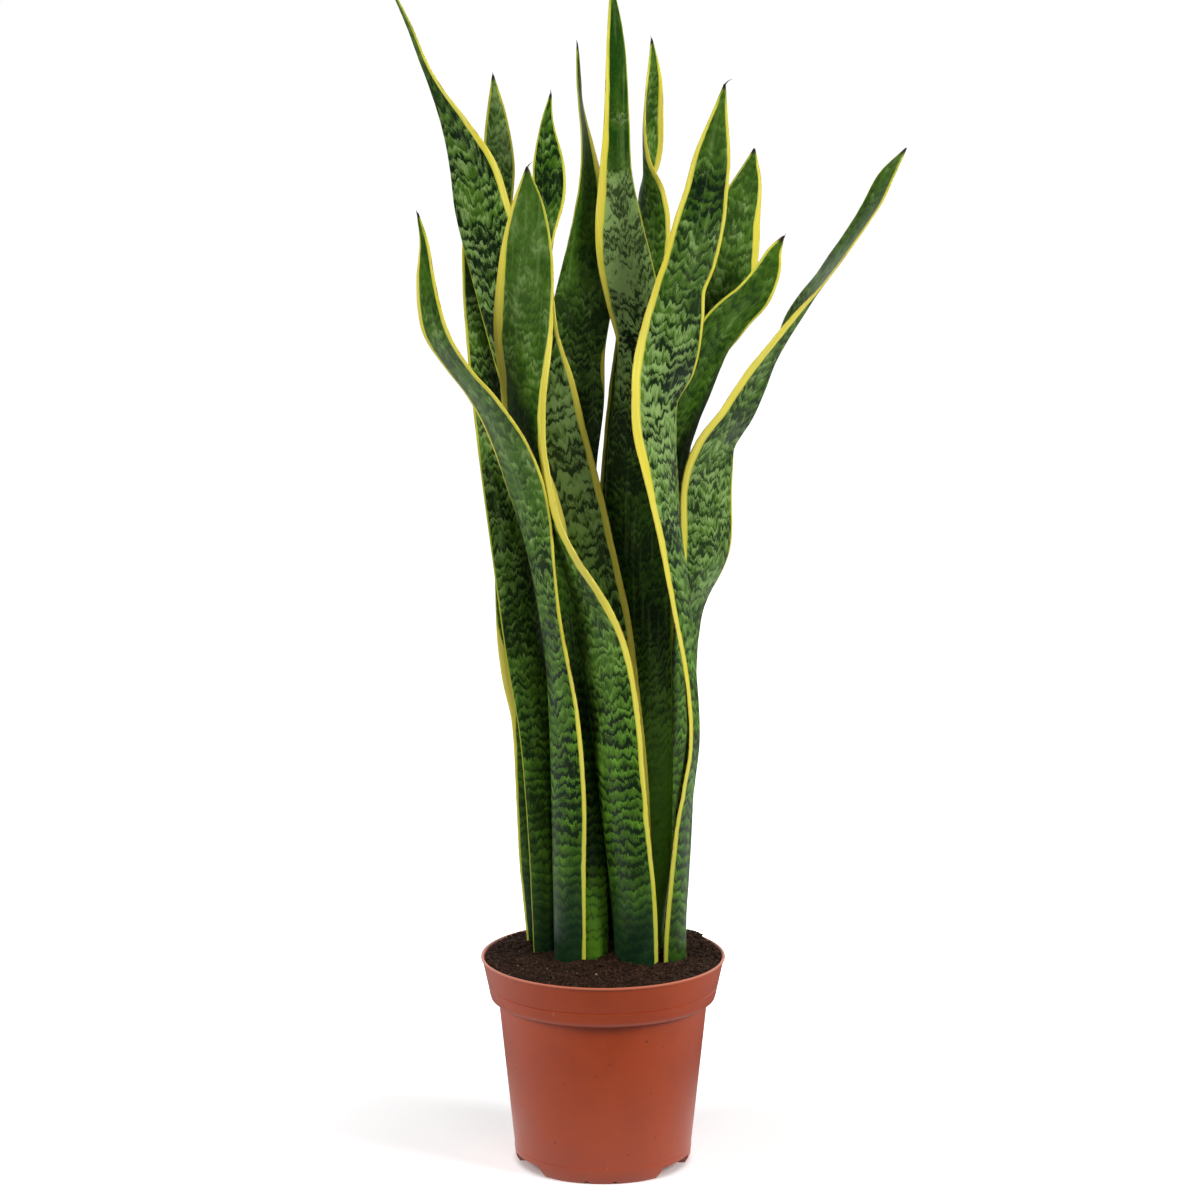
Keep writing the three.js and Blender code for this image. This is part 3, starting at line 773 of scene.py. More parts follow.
def hair_piece(leaf, length, lean, bend, material):
    """A thin cone that carries on from the tip of a blade and curls to one side."""
    bm = bmesh.new()
    bmesh.ops.create_cone(
        bm,
        cap_ends=True,
        segments=HAIR["sides"],
        radius1=HAIR["foot_radius"] * MM,
        radius2=HAIR["tip_radius"] * MM,
        depth=length * MM,
    )
    sides = [edge for edge in bm.edges if abs(edge.verts[0].co.z - edge.verts[1].co.z) > MM]
    bmesh.ops.subdivide_edges(bm, edges=sides, cuts=HAIR["cuts"], use_grid_fill=True)
    z, x, y = LEAVES[leaf][-1][:3]
    foot = Vector((x, y, z - HAIR["sunk"]))
    for vert in bm.verts:
        rise = vert.co.z / MM + length / 2
        angle = math.radians(lean + bend * rise / length)
        mean = (angle + math.radians(lean)) / 2
        heading = Vector((math.sin(mean), 0, math.cos(mean)))
        sideways = Vector((math.cos(angle), 0, -math.sin(angle)))
        offset = sideways * (vert.co.x / MM) + Vector((0, vert.co.y / MM, 0))
        vert.co = millimetres(*(foot + heading * rise + offset))
    bmesh.ops.recalc_face_normals(bm, faces=bm.faces)
    piece = dress(new_object(leaf.replace("leaf", "dry_hair"), bm), material)
    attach(piece, "root")


# ---- Shader tools ----


class Nodes:
    """A node tree with short calls to add a node and join its inputs."""

    def __init__(self, tree):
        self.tree = tree

    def add(self, kind, settings=None, **inputs):
        node = self.tree.nodes.new(kind)
        for key, value in (settings or {}).items():
            setattr(node, key, value)
        for key, value in inputs.items():
            self.set(node, key, value)
        return node

    def set(self, node, key, value):
        """Links a socket to an input or gives it a value; i0, i1 and so on name it by place."""
        by_place = key[0] == "i" and key[1:].isdigit()
        socket = node.inputs[int(key[1:]) if by_place else key.replace("_", " ")]
        if isinstance(value, bpy.types.NodeSocket):
            self.tree.links.new(value, socket)
        else:
            socket.default_value = value

    def math(self, operation, a, b=0.0, c=0.0, clamp=False):
        settings = {"operation": operation, "use_clamp": clamp}
        return self.add("ShaderNodeMath", settings, i0=a, i1=b, i2=c).outputs[0]

    def plus(self, *values):
        total = values[0]
        for value in values[1:]:
            total = self.math("ADD", total, value)
        return total

    def times(self, *values):
        product = values[0]
        for value in values[1:]:
            product = self.math("MULTIPLY", product, value)
        return product

    def parts(self, vector):
        return list(self.add("ShaderNodeSeparateXYZ", i0=vector).outputs)

    def mix(self, factor, a, b):
        node = self.add("ShaderNodeMix", {"data_type": "RGBA"})
        self.set(node, "i0", factor)
        self.set(node, "i6", a)
        self.set(node, "i7", b)
        return node.outputs[2]

    def noise(self, vector, scale=1.0, detail=2.0, roughness=0.5, distortion=0.0):
        node = self.add("ShaderNodeTexNoise", Vector=vector, Scale=scale, Detail=detail)
        self.set(node, "Roughness", roughness)
        self.set(node, "Distortion", distortion)
        return node.outputs["Fac"]

    def point(self, x=0.0, y=0.0, z=0.0):
        return self.add("ShaderNodeCombineXYZ", i0=x, i1=y, i2=z).outputs[0]

    def smooth(self, value, low, high, to_low=0.0, to_high=1.0):
        settings = {"interpolation_type": "SMOOTHSTEP"}
        node = self.add("ShaderNodeMapRange", settings, i0=value, i1=low, i2=high)
        self.set(node, "i3", to_low)
        self.set(node, "i4", to_high)
        return node.outputs[0]

    def bump(self, height, strength, distance):
        node = self.add("ShaderNodeBump", Height=height, Strength=strength, Distance=distance)
        return node.outputs["Normal"]


def srgb(red, green, blue):
    """A colour given as it looks on screen, as the shader's linear value."""

    def linear(c):
        c /= 255
        return c / 12.92 if c <= 0.04045 else ((c + 0.055) / 1.055) ** 2.4

    return (linear(red), linear(green), linear(blue), 1.0)


def new_group(name, inputs, outputs):
    """A node group with inputs by name and default, and outputs by name and kind."""
    tree = bpy.data.node_groups.new(name, "ShaderNodeTree")
    for label, default in inputs.items():
        kind = "NodeSocketVector" if isinstance(default, tuple) else "NodeSocketFloat"
        socket = tree.interface.new_socket(label, in_out="INPUT", socket_type=kind)
        socket.default_value = default
    for label, kind in outputs.items():
        tree.interface.new_socket(label, in_out="OUTPUT", socket_type=kind)
    nodes = Nodes(tree)
    return tree, nodes, nodes.add("NodeGroupInput").outputs, nodes.add("NodeGroupOutput")


def new_material(name, **constants):
    """A material, its node helper and its shader with the constants set on its own sockets."""
    material = bpy.data.materials.new(name)
    material.use_nodes = True
    shader = material.node_tree.nodes["Principled BSDF"]
    for key, value in constants.items():
        shader.inputs[key.replace("_", " ")].default_value = value
    return material, Nodes(material.node_tree), shader


# ---- Leaf finish ----

LEAF_COLOURS = {
    "dark": srgb(10, 32, 10),
    "deep": srgb(30, 66, 12),
    "green": srgb(68, 104, 24),
    "light": srgb(142, 172, 100),
    "fresh": srgb(104, 158, 42),
    "base": srgb(14, 42, 32),
    "fleck": srgb(140, 168, 100),
    "yellow": srgb(228, 212, 66),
    "cream": srgb(244, 238, 140),
    "lime": srgb(160, 178, 52),
    "rust": srgb(150, 100, 46),
    "tip": srgb(40, 30, 20),
    "hair": srgb(44, 40, 32),
    "dry_hair": srgb(96, 84, 62),
}

# Noise over the blade: cycles per mm across it and up it, and detail.
GRAIN = {
    "flecks": (1.1, 0.13, 3.0),
    "jag": (0.34, 0.07, 2.0),
    "ripple": (0.1, 0.03, 2.0),
    "zone": (0.02, 0.035, 1.0),
    "patch": (0.11, 0.08, 2.0),
    "blotch": (0.1, 0.045, 3.0),
    "streak": (0.28, 0.012, 2.0),
    "speck": (1.6, 0.5, 2.0),
    "fray": (0.8, 0.07, 3.0),
    "stripe": (0.6, 0.012, 2.0),
    "pores": (3.2, 0.25, 2.0),
}
GRAIN_ROUGHNESS = 0.6
# Cells whose walls link the rows of marks, in cells per mm, and the zigzag of the rows in mm.
CELLS = {"across": 0.17, "up": 0.13}
ZIGZAG = {"width": 3.6, "wander": 16.0, "least": 0.3}

# How far each noise moves the rows of marks in mm, and how far it changes their strength or tone.
ROW_SWING = {"ripple": 30.0, "jag": 12.0, "flecks": 3.6}
MARK_SWING = {"zone": 3.0, "patch": 3.0}
TONE_SWING = {"blotch": 1.2, "flecks": 0.7, "plain_share": 0.2}
LOW_SWING = 90.0
FRAY_SWING = 1.2
TIP_SWING = 8.0

# Where a value starts and ends to act, and, where it isn't from 0 to 1, what it gives there.
# Heights and distances on the leaf are in mm.
RAMPS = {
    "loose": (220, 560, 0.6, 1.0),
    "mark_foot": (0.0, 0.08),
    "mark_top": (0.7, 0.15),
    "cell_edge": (0.14, 0.02, 0.0, 0.7),
    "feathers": (560, 280, 1.3, 2.3),
    "dark": (0.38, 0.92),
    "tuft": (0.3, 0.95, -0.04, 0.3),
    "green": (0.0, 0.5),
    "pale": (0.45, 1.0),
    "pale_height": (300, 620),
    "base_height": (185, 330),
    "base_tone": (0.48, 0.3),
    "streak": (0.54, 0.72, 0.0, 0.2),
    "streak_height": (250, 480),
    "speck": (0.62, 0.72),
    "speck_height": (180, 420, 0.1, 0.35),
    "margin": (0.3, -0.3),
    "stripe": (0.3, 0.8, 0.0, 0.55),
    "lime_edge": (-1.5, 0.0, 0.0, 0.7),
    "thin_margin": (3.0, 1.2, 0.0, 0.7),
    "low_margin": (160, 420, 0.5, 0.0),
    "worn": (0.5, 0.66),
    "rim": (0.9, 0.3, 0.0, 0.8),
    "dry_tip": (7.0, 2.5),
    "roughness": (0.2, 0.8, 0.36, 0.52),
}
BASE_SHARE = 0.85
BASE_FADES_MARKS = -0.6
MARGIN = {"least": 0.72, "range": 0.56, "most_of_half": 0.45, "wander": 0.03, "wear": 0.07}
RELIEF = {"pores": 0.5, "marks": -0.35, "strength": 0.25, "distance": 0.0006}
FACE_SEED = 37.0


def leaf_group():
    """The leaf's markings: rows of dark marks, flecks, yellow margins and a dry tip."""
    tree, n, source, target = new_group(
        "leaf_markings",
        {
            "Blade": (0.0, 0.0, 0.0),
            "Margins": (0.0, 0.0, 0.0),
            "Growth": (0.0, 0.0, 0.0),
            "Seed": 0.0,
            "Row": 6.0,
            "Chevron": 0.2,
            "Density": 0.0,
        },
        {"Color": "NodeSocketColor", "Roughness": "NodeSocketFloat", "Height": "NodeSocketFloat"},
    )
    across, up, half = (n.times(part, 1 / MM) for part in n.parts(source["Blade"]))
    left, right, tip = (n.times(part, 1 / MM) for part in n.parts(source["Margins"]))
    bands, light, face = n.parts(source["Growth"])
    face = n.math("MULTIPLY_ADD", face, FACE_SEED, source["Seed"])

    def grain(kind, height=up):
        fine_across, fine_up, detail = GRAIN[kind]
        place = n.point(n.times(across, fine_across), n.times(height, fine_up), face)
        return n.noise(place, 1.0, detail, GRAIN_ROUGHNESS)

    def centred(value, size):
        return n.times(n.math("SUBTRACT", value, 0.5), size)

    def ramp(value, name):
        return n.smooth(value, *RAMPS[name])

    flecks, jag, ripple = grain("flecks"), grain("jag"), grain("ripple")
    loose = ramp(up, "loose")
    bends = n.plus(centred(ripple, ROW_SWING["ripple"]), centred(jag, ROW_SWING["jag"]))
    warped = n.plus(up, n.times(bends, loose), centred(flecks, ROW_SWING["flecks"]))
    turns = n.plus(across, centred(jag, ZIGZAG["wander"]))
    turns = n.math("PINGPONG", turns, ZIGZAG["width"])
    warped = n.plus(warped, n.times(turns, n.plus(source["Chevron"], ZIGZAG["least"])))
    sideways = n.math("ABSOLUTE", across)
    warped = n.math("SUBTRACT", warped, n.times(sideways, source["Chevron"]))

    # rows of marks with a sharp lower edge and a feathered upper one, strong in some zones only
    phase = n.math("FRACT", n.math("DIVIDE", warped, source["Row"]))
    row = n.times(ramp(phase, "mark_foot"), ramp(phase, "mark_top"))
    cells = n.point(n.times(across, CELLS["across"]), n.times(warped, CELLS["up"]), face)
    cells = n.add("ShaderNodeTexVoronoi", {"feature": "DISTANCE_TO_EDGE"}, Vector=cells)
    row = n.math("MAXIMUM", row, ramp(cells.outputs["Distance"], "cell_edge"))
    strength = n.plus(
        row,
        n.times(centred(grain("zone", warped), MARK_SWING["zone"]), loose),
        n.times(centred(grain("patch", warped), MARK_SWING["patch"]), loose),
        n.times(centred(flecks, 1.0), ramp(up, "feathers")),
        source["Density"],
    )
    dark = n.math("MULTIPLY", ramp(strength, "dark"), bands, clamp=True)

    # the green between the marks, in tufts, with pale flecks
    marked = n.plus(bands, TONE_SWING["plain_share"])
    patchy = n.times(centred(flecks, TONE_SWING["flecks"]), marked)
    tone = n.plus(light, centred(grain("blotch"), TONE_SWING["blotch"]), patchy)
    tone = n.math("ADD", tone, n.times(ramp(phase, "tuft"), bands), clamp=True)
    green = n.mix(ramp(tone, "green"), LEAF_COLOURS["deep"], LEAF_COLOURS["green"])
    pale = n.mix(ramp(up, "pale_height"), LEAF_COLOURS["fresh"], LEAF_COLOURS["light"])
    green = n.mix(ramp(tone, "pale"), green, pale)
    raised = ramp(n.plus(up, centred(ripple, LOW_SWING)), "base_height")
    low = n.times(n.math("SUBTRACT", 1.0, raised), ramp(light, "base_tone"))
    green = n.mix(n.times(low, BASE_SHARE), green, LEAF_COLOURS["base"])
    dark = n.times(dark, n.math("MULTIPLY_ADD", low, BASE_FADES_MARKS, 1.0))
    blade = n.mix(dark, green, LEAF_COLOURS["dark"])
    streak = n.times(ramp(grain("streak"), "streak"), ramp(up, "streak_height"))
    blade = n.mix(streak, blade, LEAF_COLOURS["fleck"])
    speck = n.times(ramp(grain("speck"), "speck"), ramp(up, "speck_height"))
    blade = n.mix(speck, blade, LEAF_COLOURS["fleck"])

    # yellow margins, by the distance from the nearer edge
    side = n.math("GREATER_THAN", across, 0.0)
    width = n.plus(n.times(right, side), n.times(left, n.math("SUBTRACT", 1.0, side)))
    wander = n.noise(n.point(n.times(up, MARGIN["wander"]), face, side))
    width = n.times(width, n.math("MULTIPLY_ADD", wander, MARGIN["range"], MARGIN["least"]))
    width = n.math("MINIMUM", width, n.times(half, MARGIN["most_of_half"]))
    edge = n.math("SUBTRACT", half, sideways)
    inside = n.math("SUBTRACT", n.plus(edge, centred(grain("fray"), FRAY_SWING)), width)
    yellow = LEAF_COLOURS["yellow"]
    yellow = n.mix(ramp(grain("stripe"), "stripe"), yellow, LEAF_COLOURS["cream"])
    yellow = n.mix(ramp(inside, "lime_edge"), yellow, LEAF_COLOURS["lime"])
    yellow = n.mix(ramp(width, "thin_margin"), yellow, LEAF_COLOURS["lime"])
    yellow = n.mix(ramp(up, "low_margin"), yellow, LEAF_COLOURS["lime"])
    wear = n.noise(n.point(n.times(up, MARGIN["wear"]), face, 3.0), roughness=GRAIN_ROUGHNESS)
    yellow = n.mix(n.times(ramp(edge, "rim"), ramp(wear, "worn")), yellow, LEAF_COLOURS["rust"])
    colour = n.mix(ramp(inside, "margin"), blade, yellow)
    dry_tip = ramp(n.plus(tip, centred(jag, TIP_SWING)), "dry_tip")

    n.set(target, "Color", n.mix(dry_tip, colour, LEAF_COLOURS["tip"]))
    n.set(target, "Roughness", ramp(flecks, "roughness"))
    relief = n.plus(n.times(grain("pores"), RELIEF["pores"]), n.times(dark, RELIEF["marks"]))
    n.set(target, "Height", relief)
    return tree


def leaf_material(name, group, seed, row, chevron, density):
    material, n, shader = new_material(name.replace("leaf", "leaf_skin"), Specular_IOR_Level=0.28)
    pattern = n.add("ShaderNodeGroup", {"node_tree": group}, Seed=seed, Row=row)
    n.set(pattern, "Chevron", chevron)
    n.set(pattern, "Density", density)
    for label in ("blade", "margins", "growth"):
        source = n.add("ShaderNodeAttribute", {"attribute_name": label}).outputs["Vector"]
        n.set(pattern, label.title(), source)
    n.set(shader, "Base Color", pattern.outputs["Color"])
    n.set(shader, "Roughness", pattern.outputs["Roughness"])
    relief = n.bump(pattern.outputs["Height"], RELIEF["strength"], RELIEF["distance"])
    n.set(shader, "Normal", relief)
    return material


def hair_material():
    material, n, shader = new_material("dry_hair", Roughness=0.7)
    streak = n.noise(n.add("ShaderNodeTexCoord").outputs["Object"], 700.0, 2.0, 0.6)
    colour = n.mix(n.smooth(streak, 0.3, 0.7), LEAF_COLOURS["hair"], LEAF_COLOURS["dry_hair"])
    n.set(shader, "Base Color", colour)
    return material


# ---- Pot ----

POT_COLOURS = {
    "deep": srgb(166, 60, 14),
    "bright": srgb(178, 67, 20),
    "scuff": srgb(196, 120, 92),
    "speck": srgb(60, 28, 20),
    # the lip colour is a painted highlight along the top of the rim
    "lip": srgb(214, 126, 96),
}
# Noise on the pot: scale in cycles per metre, detail, roughness and, for the scuffs, distortion.
POT_NOISE = {
    "cloud": (18.0, 3.0, 0.6),
    "fine": (260.0, 3.0, 0.6),
    "scuff": (95.0, 4.0, 0.65, 0.6),
    "speck": (170.0, 2.0, 0.5),
}
# Where each noise, and for the lip's painted highlight the height in metres, starts and ends to
# act, and what it gives.
POT_RAMPS = {
    "cloud": (0.3, 0.7),
    "scuff": (0.68, 0.74, 0.0, 0.45),
    "speck": (0.72, 0.76, 0.0, 0.8),
    "lip": (0.1796, 0.1808, 0.0, 0.7),
    "roughness": (0.2, 0.8, 0.34, 0.46),
}
POT_GRAIN = {"strength": 0.14, "distance": 0.0005}


def pot_material():
    material, n, shader = new_material("terracotta_plastic", Specular_IOR_Level=0.7)
    place = n.add("ShaderNodeTexCoord").outputs["Object"]
    cloud, fine, scuff, speck = (n.noise(place, *values) for values in POT_NOISE.values())

    def ramp(value, name):
        return n.smooth(value, *POT_RAMPS[name])

    colour = n.mix(ramp(cloud, "cloud"), POT_COLOURS["deep"], POT_COLOURS["bright"])
    colour = n.mix(ramp(scuff, "scuff"), colour, POT_COLOURS["scuff"])
    colour = n.mix(ramp(speck, "speck"), colour, POT_COLOURS["speck"])
    # a lighter band round the top of the rim: a painted highlight
    colour = n.mix(ramp(n.parts(place)[2], "lip"), colour, POT_COLOURS["lip"])
    n.set(shader, "Base Color", colour)
    n.set(shader, "Roughness", ramp(cloud, "roughness"))
    n.set(shader, "Normal", n.bump(fine, POT_GRAIN["strength"], POT_GRAIN["distance"]))
    return material


def around_axis(radius, azimuth, z):
    """A point round the pot's axis; azimuth 0 is the front, and it grows towards +X."""
    angle = math.radians(azimuth)
    return millimetres(radius * math.sin(angle), -radius * math.cos(angle), z)


def add_rod(bm, radius, length, centre, axis):
    """A round rod in a bmesh, along an axis through its centre."""
    turn = Vector((0, 0, 1)).rotation_difference(axis).to_matrix().to_4x4()
    bmesh.ops.create_cone(
        bm,
        cap_ends=True,
        segments=ROD_SIDES,
        radius1=radius * MM,
        radius2=radius * MM,
        depth=length * MM,
        matrix=Matrix.Translation(centre) @ turn,
    )


def add_arch(bm, azimuth):
    """The arched cut through the foot: an upright outline pushed outwards."""
    foot, shoulder, top = (ARCH[k] / 2 for k in ("foot", "shoulder", "top"))
    rise, drop, round_rise = ARCH["height"], ARCH["shoulder_drop"], ARCH["round_drop"]
    rounded = shoulder - ARCH["round"]
    right = [(foot, -1), (shoulder, rise - drop), (rounded, rise - round_rise), (top, rise)]
    outline = right + [(-x, z) for x, z in reversed(right)]
    verts = [bm.verts.new(Vector((x, -ARCH["from"], z)) * MM) for x, z in outline]
    face = bm.faces.new(verts)
    pushed = bmesh.ops.extrude_face_region(bm, geom=[face])["geom"]
    moved = [g for g in pushed if isinstance(g, bmesh.types.BMVert)]
    outwards = Vector((0, ARCH["from"] - ARCH["to"], 0)) * MM
    bmesh.ops.translate(bm, verts=moved, vec=outwards)
    turn = Matrix.Translation(AXIS) @ Matrix.Rotation(math.radians(azimuth), 4, "Z")
    bmesh.ops.transform(bm, matrix=turn, verts=verts + moved)


def cut(piece, name, bm):
    """Takes a bmesh's shape out of the piece."""
    bmesh.ops.recalc_face_normals(bm, faces=bm.faces)
    tool = new_object(name, bm)
    add_modifier(piece, "BOOLEAN", operation="DIFFERENCE", object=tool, solver="EXACT")
    ready = piece.evaluated_get(bpy.context.evaluated_depsgraph_get())
    mesh = bpy.data.meshes.new_from_object(ready)
    piece.modifiers.clear()
    piece.data = mesh
    bpy.data.objects.remove(tool)


def in_order(mesh):
    """The mesh as a bmesh with its parts sorted by place, since a cut leaves them in any order."""
    bm = bmesh.new()
    bm.from_mesh(mesh)
    bm.verts.sort(key=lambda vert: vert.co.dot(SORT_WAY))
    for parts in (bm.edges, bm.faces):
        parts.sort(key=lambda part: sum(vert.co.dot(SORT_WAY) for vert in part.verts))
    bm.to_mesh(mesh)
    bm.free()
    bm = bmesh.new()
    bm.from_mesh(mesh)
    return bm


def clean(piece):
    """Joins the flat faces and the close points that the cuts leave behind."""
    bm = in_order(piece.data)
    flat = math.radians(FLAT_ANGLE)
    bmesh.ops.dissolve_limit(bm, angle_limit=flat, verts=bm.verts, edges=bm.edges)
    bmesh.ops.remove_doubles(bm, verts=bm.verts, dist=MERGE["cut"] * MM)
    bmesh.ops.dissolve_degenerate(bm, edges=bm.edges, dist=MERGE["sliver"] * MM)
    bmesh.ops.recalc_face_normals(bm, faces=bm.faces)
    bm.to_mesh(piece.data)
    bm.free()


def pot_piece(material):
    """The moulded pot: a profile spun about the axis, with its arches, nicks and drains cut."""
    profile = [(0.0, POT_FLOOR["bottom"])] + POT_OUTSIDE + [(0.0, POT_FLOOR["top"])]
    bm = spun(profile, POT_STEPS)
    bmesh.ops.recalc_face_normals(bm, faces=bm.faces)
    piece = new_object("moulded_pot", bm)
    step = 360 / ARCH["count"]
    arches = [ARCH["azimuth"] + i * step for i in range(ARCH["count"])]
    bm = bmesh.new()
    for azimuth in arches:
        add_arch(bm, azimuth)
    cut(piece, "arch_cut", bm)
    bm = bmesh.new()
    upright = Vector((0, 0, 1))
    for azimuth in arches:
        for offset in NICK["offsets"]:
            turn = azimuth + step / 2 + offset
            foot = around_axis(NICK["circle"], turn, 0)
            add_rod(bm, NICK["radius"], NICK["length"], foot, foot - AXIS)
    for i in range(DRAIN["count"]):
        centre = around_axis(DRAIN["circle"], 360 / DRAIN["count"] * i, DRAIN["height"])
        add_rod(bm, DRAIN["radius"], DRAIN["length"], centre, upright)
    middle = millimetres(0, 0, DRAIN["height"])
    add_rod(bm, DRAIN["radius"], DRAIN["length"], middle, upright)
    cut(piece, "drain_cut", bm)
    clean(piece)
    dress(piece, material)
    add_modifier(
        piece,
        "BEVEL",
        width=BEVEL["width"] * MM,
        segments=BEVEL["segments"],
        limit_method="ANGLE",
        angle_limit=math.radians(BEVEL["angle"]),
    )
    add_modifier(piece, "WEIGHTED_NORMAL", keep_sharp=True)
    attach(piece, "root")
    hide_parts("pot")


# ---- Peat ----


def soil_height(x, y):
    """Height of the peat's surface at a point from the pot's axis, in millimetres."""
    inwards = SOIL["radius"] - math.hypot(x, y)
    share = min(1.0, max(0.0, inwards / (SOIL["radius"] - SOIL["crown_radius"])))
    lift = SOIL["edge"] + (SOIL["crown"] - SOIL["edge"]) * share
    rough = sum(noise.noise(Vector((x / size, y / size, z))) * rise for size, z, rise in CLODS)
    heap = 0
    for rise, cx, cy, wide, deep in HEAPS:
        heap += rise * math.exp(-(((x - cx) / wide) ** 2 + ((y - cy) / deep) ** 2))
    size = LEAF_HEAP["patch"]
    place = Vector((x / size, y / size, LEAF_HEAP["place"]))
    patches = LEAF_HEAP["share"] + noise.noise(place)
    for _, leaf_x, leaf_y, width, _, _ in (stations[0] for stations in LEAVES.values()):
        gap = math.hypot(x - leaf_x, y - leaf_y) - width * LEAF_HEAP["reach"]
        heap += LEAF_HEAP["rise"] * math.exp(-((gap / LEAF_HEAP["spread"]) ** 2)) * patches
    fade = min(1.0, max(0.0, inwards / SOIL["rim_fade"]))
    return lift + rough * (SOIL["rim_share"] + (1 - SOIL["rim_share"]) * fade) + heap * fade


SOIL_COLOURS = {
    "black": srgb(11, 8, 7),
    "brown": srgb(78, 55, 43),
    "clod": srgb(104, 78, 60),
    "damp": srgb(28, 18, 13),
    "bark": srgb(128, 96, 62),
    "fibre": srgb(206, 196, 170),
    "stock": srgb(176, 118, 58),
    "pale_stock": srgb(206, 156, 92),
}


# Noise on the peat: scale in cycles per metre, detail and roughness.
SOIL_NOISE = {"grit": (900.0, 3.0, 0.7), "patch": (70.0, 3.0, 0.6), "clod": (420.0, 1.0, 0.5)}
SOIL_RAMPS = {
    "grit": (0.3, 0.72),
    "clod": (0.56, 0.7, 0.0, 0.7),
    "damp": (0.4, 0.7, 0.0, 0.5),
    "roughness": (0.3, 0.7, 0.95, 0.75),
}
SOIL_GRAIN = {"strength": 0.9, "distance": 0.0012}


def soil_material():
    material, n, shader = new_material("peat", Specular_IOR_Level=0.25)
    place = n.add("ShaderNodeTexCoord").outputs["Object"]
    grit, patch, clod = (n.noise(place, *values) for values in SOIL_NOISE.values())

    def ramp(value, name):
        return n.smooth(value, *SOIL_RAMPS[name])

    colour = n.mix(ramp(grit, "grit"), SOIL_COLOURS["black"], SOIL_COLOURS["brown"])
    colour = n.mix(ramp(clod, "clod"), colour, SOIL_COLOURS["clod"])
    colour = n.mix(ramp(patch, "damp"), colour, SOIL_COLOURS["damp"])
    n.set(shader, "Base Color", colour)
    n.set(shader, "Roughness", ramp(grit, "roughness"))
    n.set(shader, "Normal", n.bump(grit, SOIL_GRAIN["strength"], SOIL_GRAIN["distance"]))
    return material


def soil_piece(material):
    """The body of peat: a spun profile whose top is heaved by noise."""
    radius, edge, rings = SOIL["radius"], SOIL["edge"], SOIL["rings"]
    top = [(radius * (1 - i / rings), edge) for i in range(rings + 1)]
    bm = spun(SOIL_WALL + top, SOIL["steps"])
    wall_top = (SOIL_WALL[-1][1] + edge) / 2
    for vert in bm.verts:
        x, y, z = (vert.co - AXIS) / MM
        if z > wall_top:
            vert.co.z = soil_height(x, y) * MM
    bmesh.ops.recalc_face_normals(bm, faces=bm.faces)
    piece = dress(new_object("peat_body", bm), material)
    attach(piece, "root")
    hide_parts("soil")


def add_crumb(bm, draw, size, stretch):
    """One crumb at a random place, bedded in the peat's surface."""
    radius = (SOIL["radius"] - CRUMB["rim"]) * math.sqrt(draw.random())
    angle = draw.uniform(0, 2 * math.pi)
    x, y = radius * math.cos(angle), radius * math.sin(angle)
    turn = Matrix.Rotation(draw.uniform(0, math.pi), 4, "Z")
    turn = turn @ Matrix.Rotation(draw.uniform(-CRUMB["tilt"], CRUMB["tilt"]), 4, "X")
    height = size * draw.uniform(*CRUMB["heights"])
    shape = Matrix.Diagonal((size * stretch * MM, size * MM, height * MM, 1))
    centre = millimetres(x, y, soil_height(x, y) + size * CRUMB["raised"])
    place = Matrix.Translation(centre) @ turn @ shape
    made = bmesh.ops.create_icosphere(bm, subdivisions=1, radius=1.0, matrix=place)
    for vert in made["verts"]:
        lump = noise.noise_vector(vert.co * CRUMB["lump_scale"])
        vert.co += lump * (size * CRUMB["lump"] * MM)


def crumb_piece(name, count, sizes, stretches, seed, material):
    """Many crumbs as one piece, made in batches that are joined at the end."""
    draw = random.Random(seed)
    whole = bmesh.new()
    for start in range(0, count, CRUMB["batch"]):
        batch = bmesh.new()
        for _ in range(min(CRUMB["batch"], count - start)):
            size = sizes[0] + (sizes[1] - sizes[0]) * draw.random() ** 3
            add_crumb(batch, draw, size, draw.uniform(*stretches))
        mesh = bpy.data.meshes.new("batch")
        batch.to_mesh(mesh)
        batch.free()
        whole.from_mesh(mesh)
        bpy.data.meshes.remove(mesh)
    piece = dress(new_object(name, whole), material, smooth=False)
    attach(piece, "root")


def fleck_material():
    material, n, shader = new_material("pale_fleck", Roughness=0.85)
    patch = n.noise(n.add("ShaderNodeTexCoord").outputs["Object"], 300.0, 2.0, 0.6)
    colour = n.mix(n.smooth(patch, 0.4, 0.6), SOIL_COLOURS["bark"], SOIL_COLOURS["fibre"])
    n.set(shader, "Base Color", colour)
    return material


def stock_material():
    material, n, shader = new_material("root_stock", Roughness=0.75)
    bark = n.noise(n.add("ShaderNodeTexCoord").outputs["Object"], 160.0, 4.0, 0.65)
    colour = n.mix(n.smooth(bark, 0.3, 0.7), SOIL_COLOURS["stock"], SOIL_COLOURS["pale_stock"])
    n.set(shader, "Base Color", colour)
    n.set(shader, "Normal", n.bump(bark, 0.5, 0.001))
    return material


# ---- Studio ----

# Camera: place in millimetres from the pot's axis, pitch down in degrees, lens and sensor in mm.
CAMERA = {"x": -2.6, "y": -3161, "z": 1072, "pitch": 10.4, "lens": 114, "sensor": 36, "reach": 50}

# Lamps: place in metres, width in metres and power in watts.
LAMPS = {
    "left_box": ((-2.45, -1.4, 2.0), 1.4, 66),
    "right_box": ((2.45, -1.4, 2.0), 1.4, 88),
    "top_box": ((0.2, -1.8, 3.0), 1.2, 12),
}
LAMP_TARGET = (0, 0, 0.5)
AMBIENT = 0.05

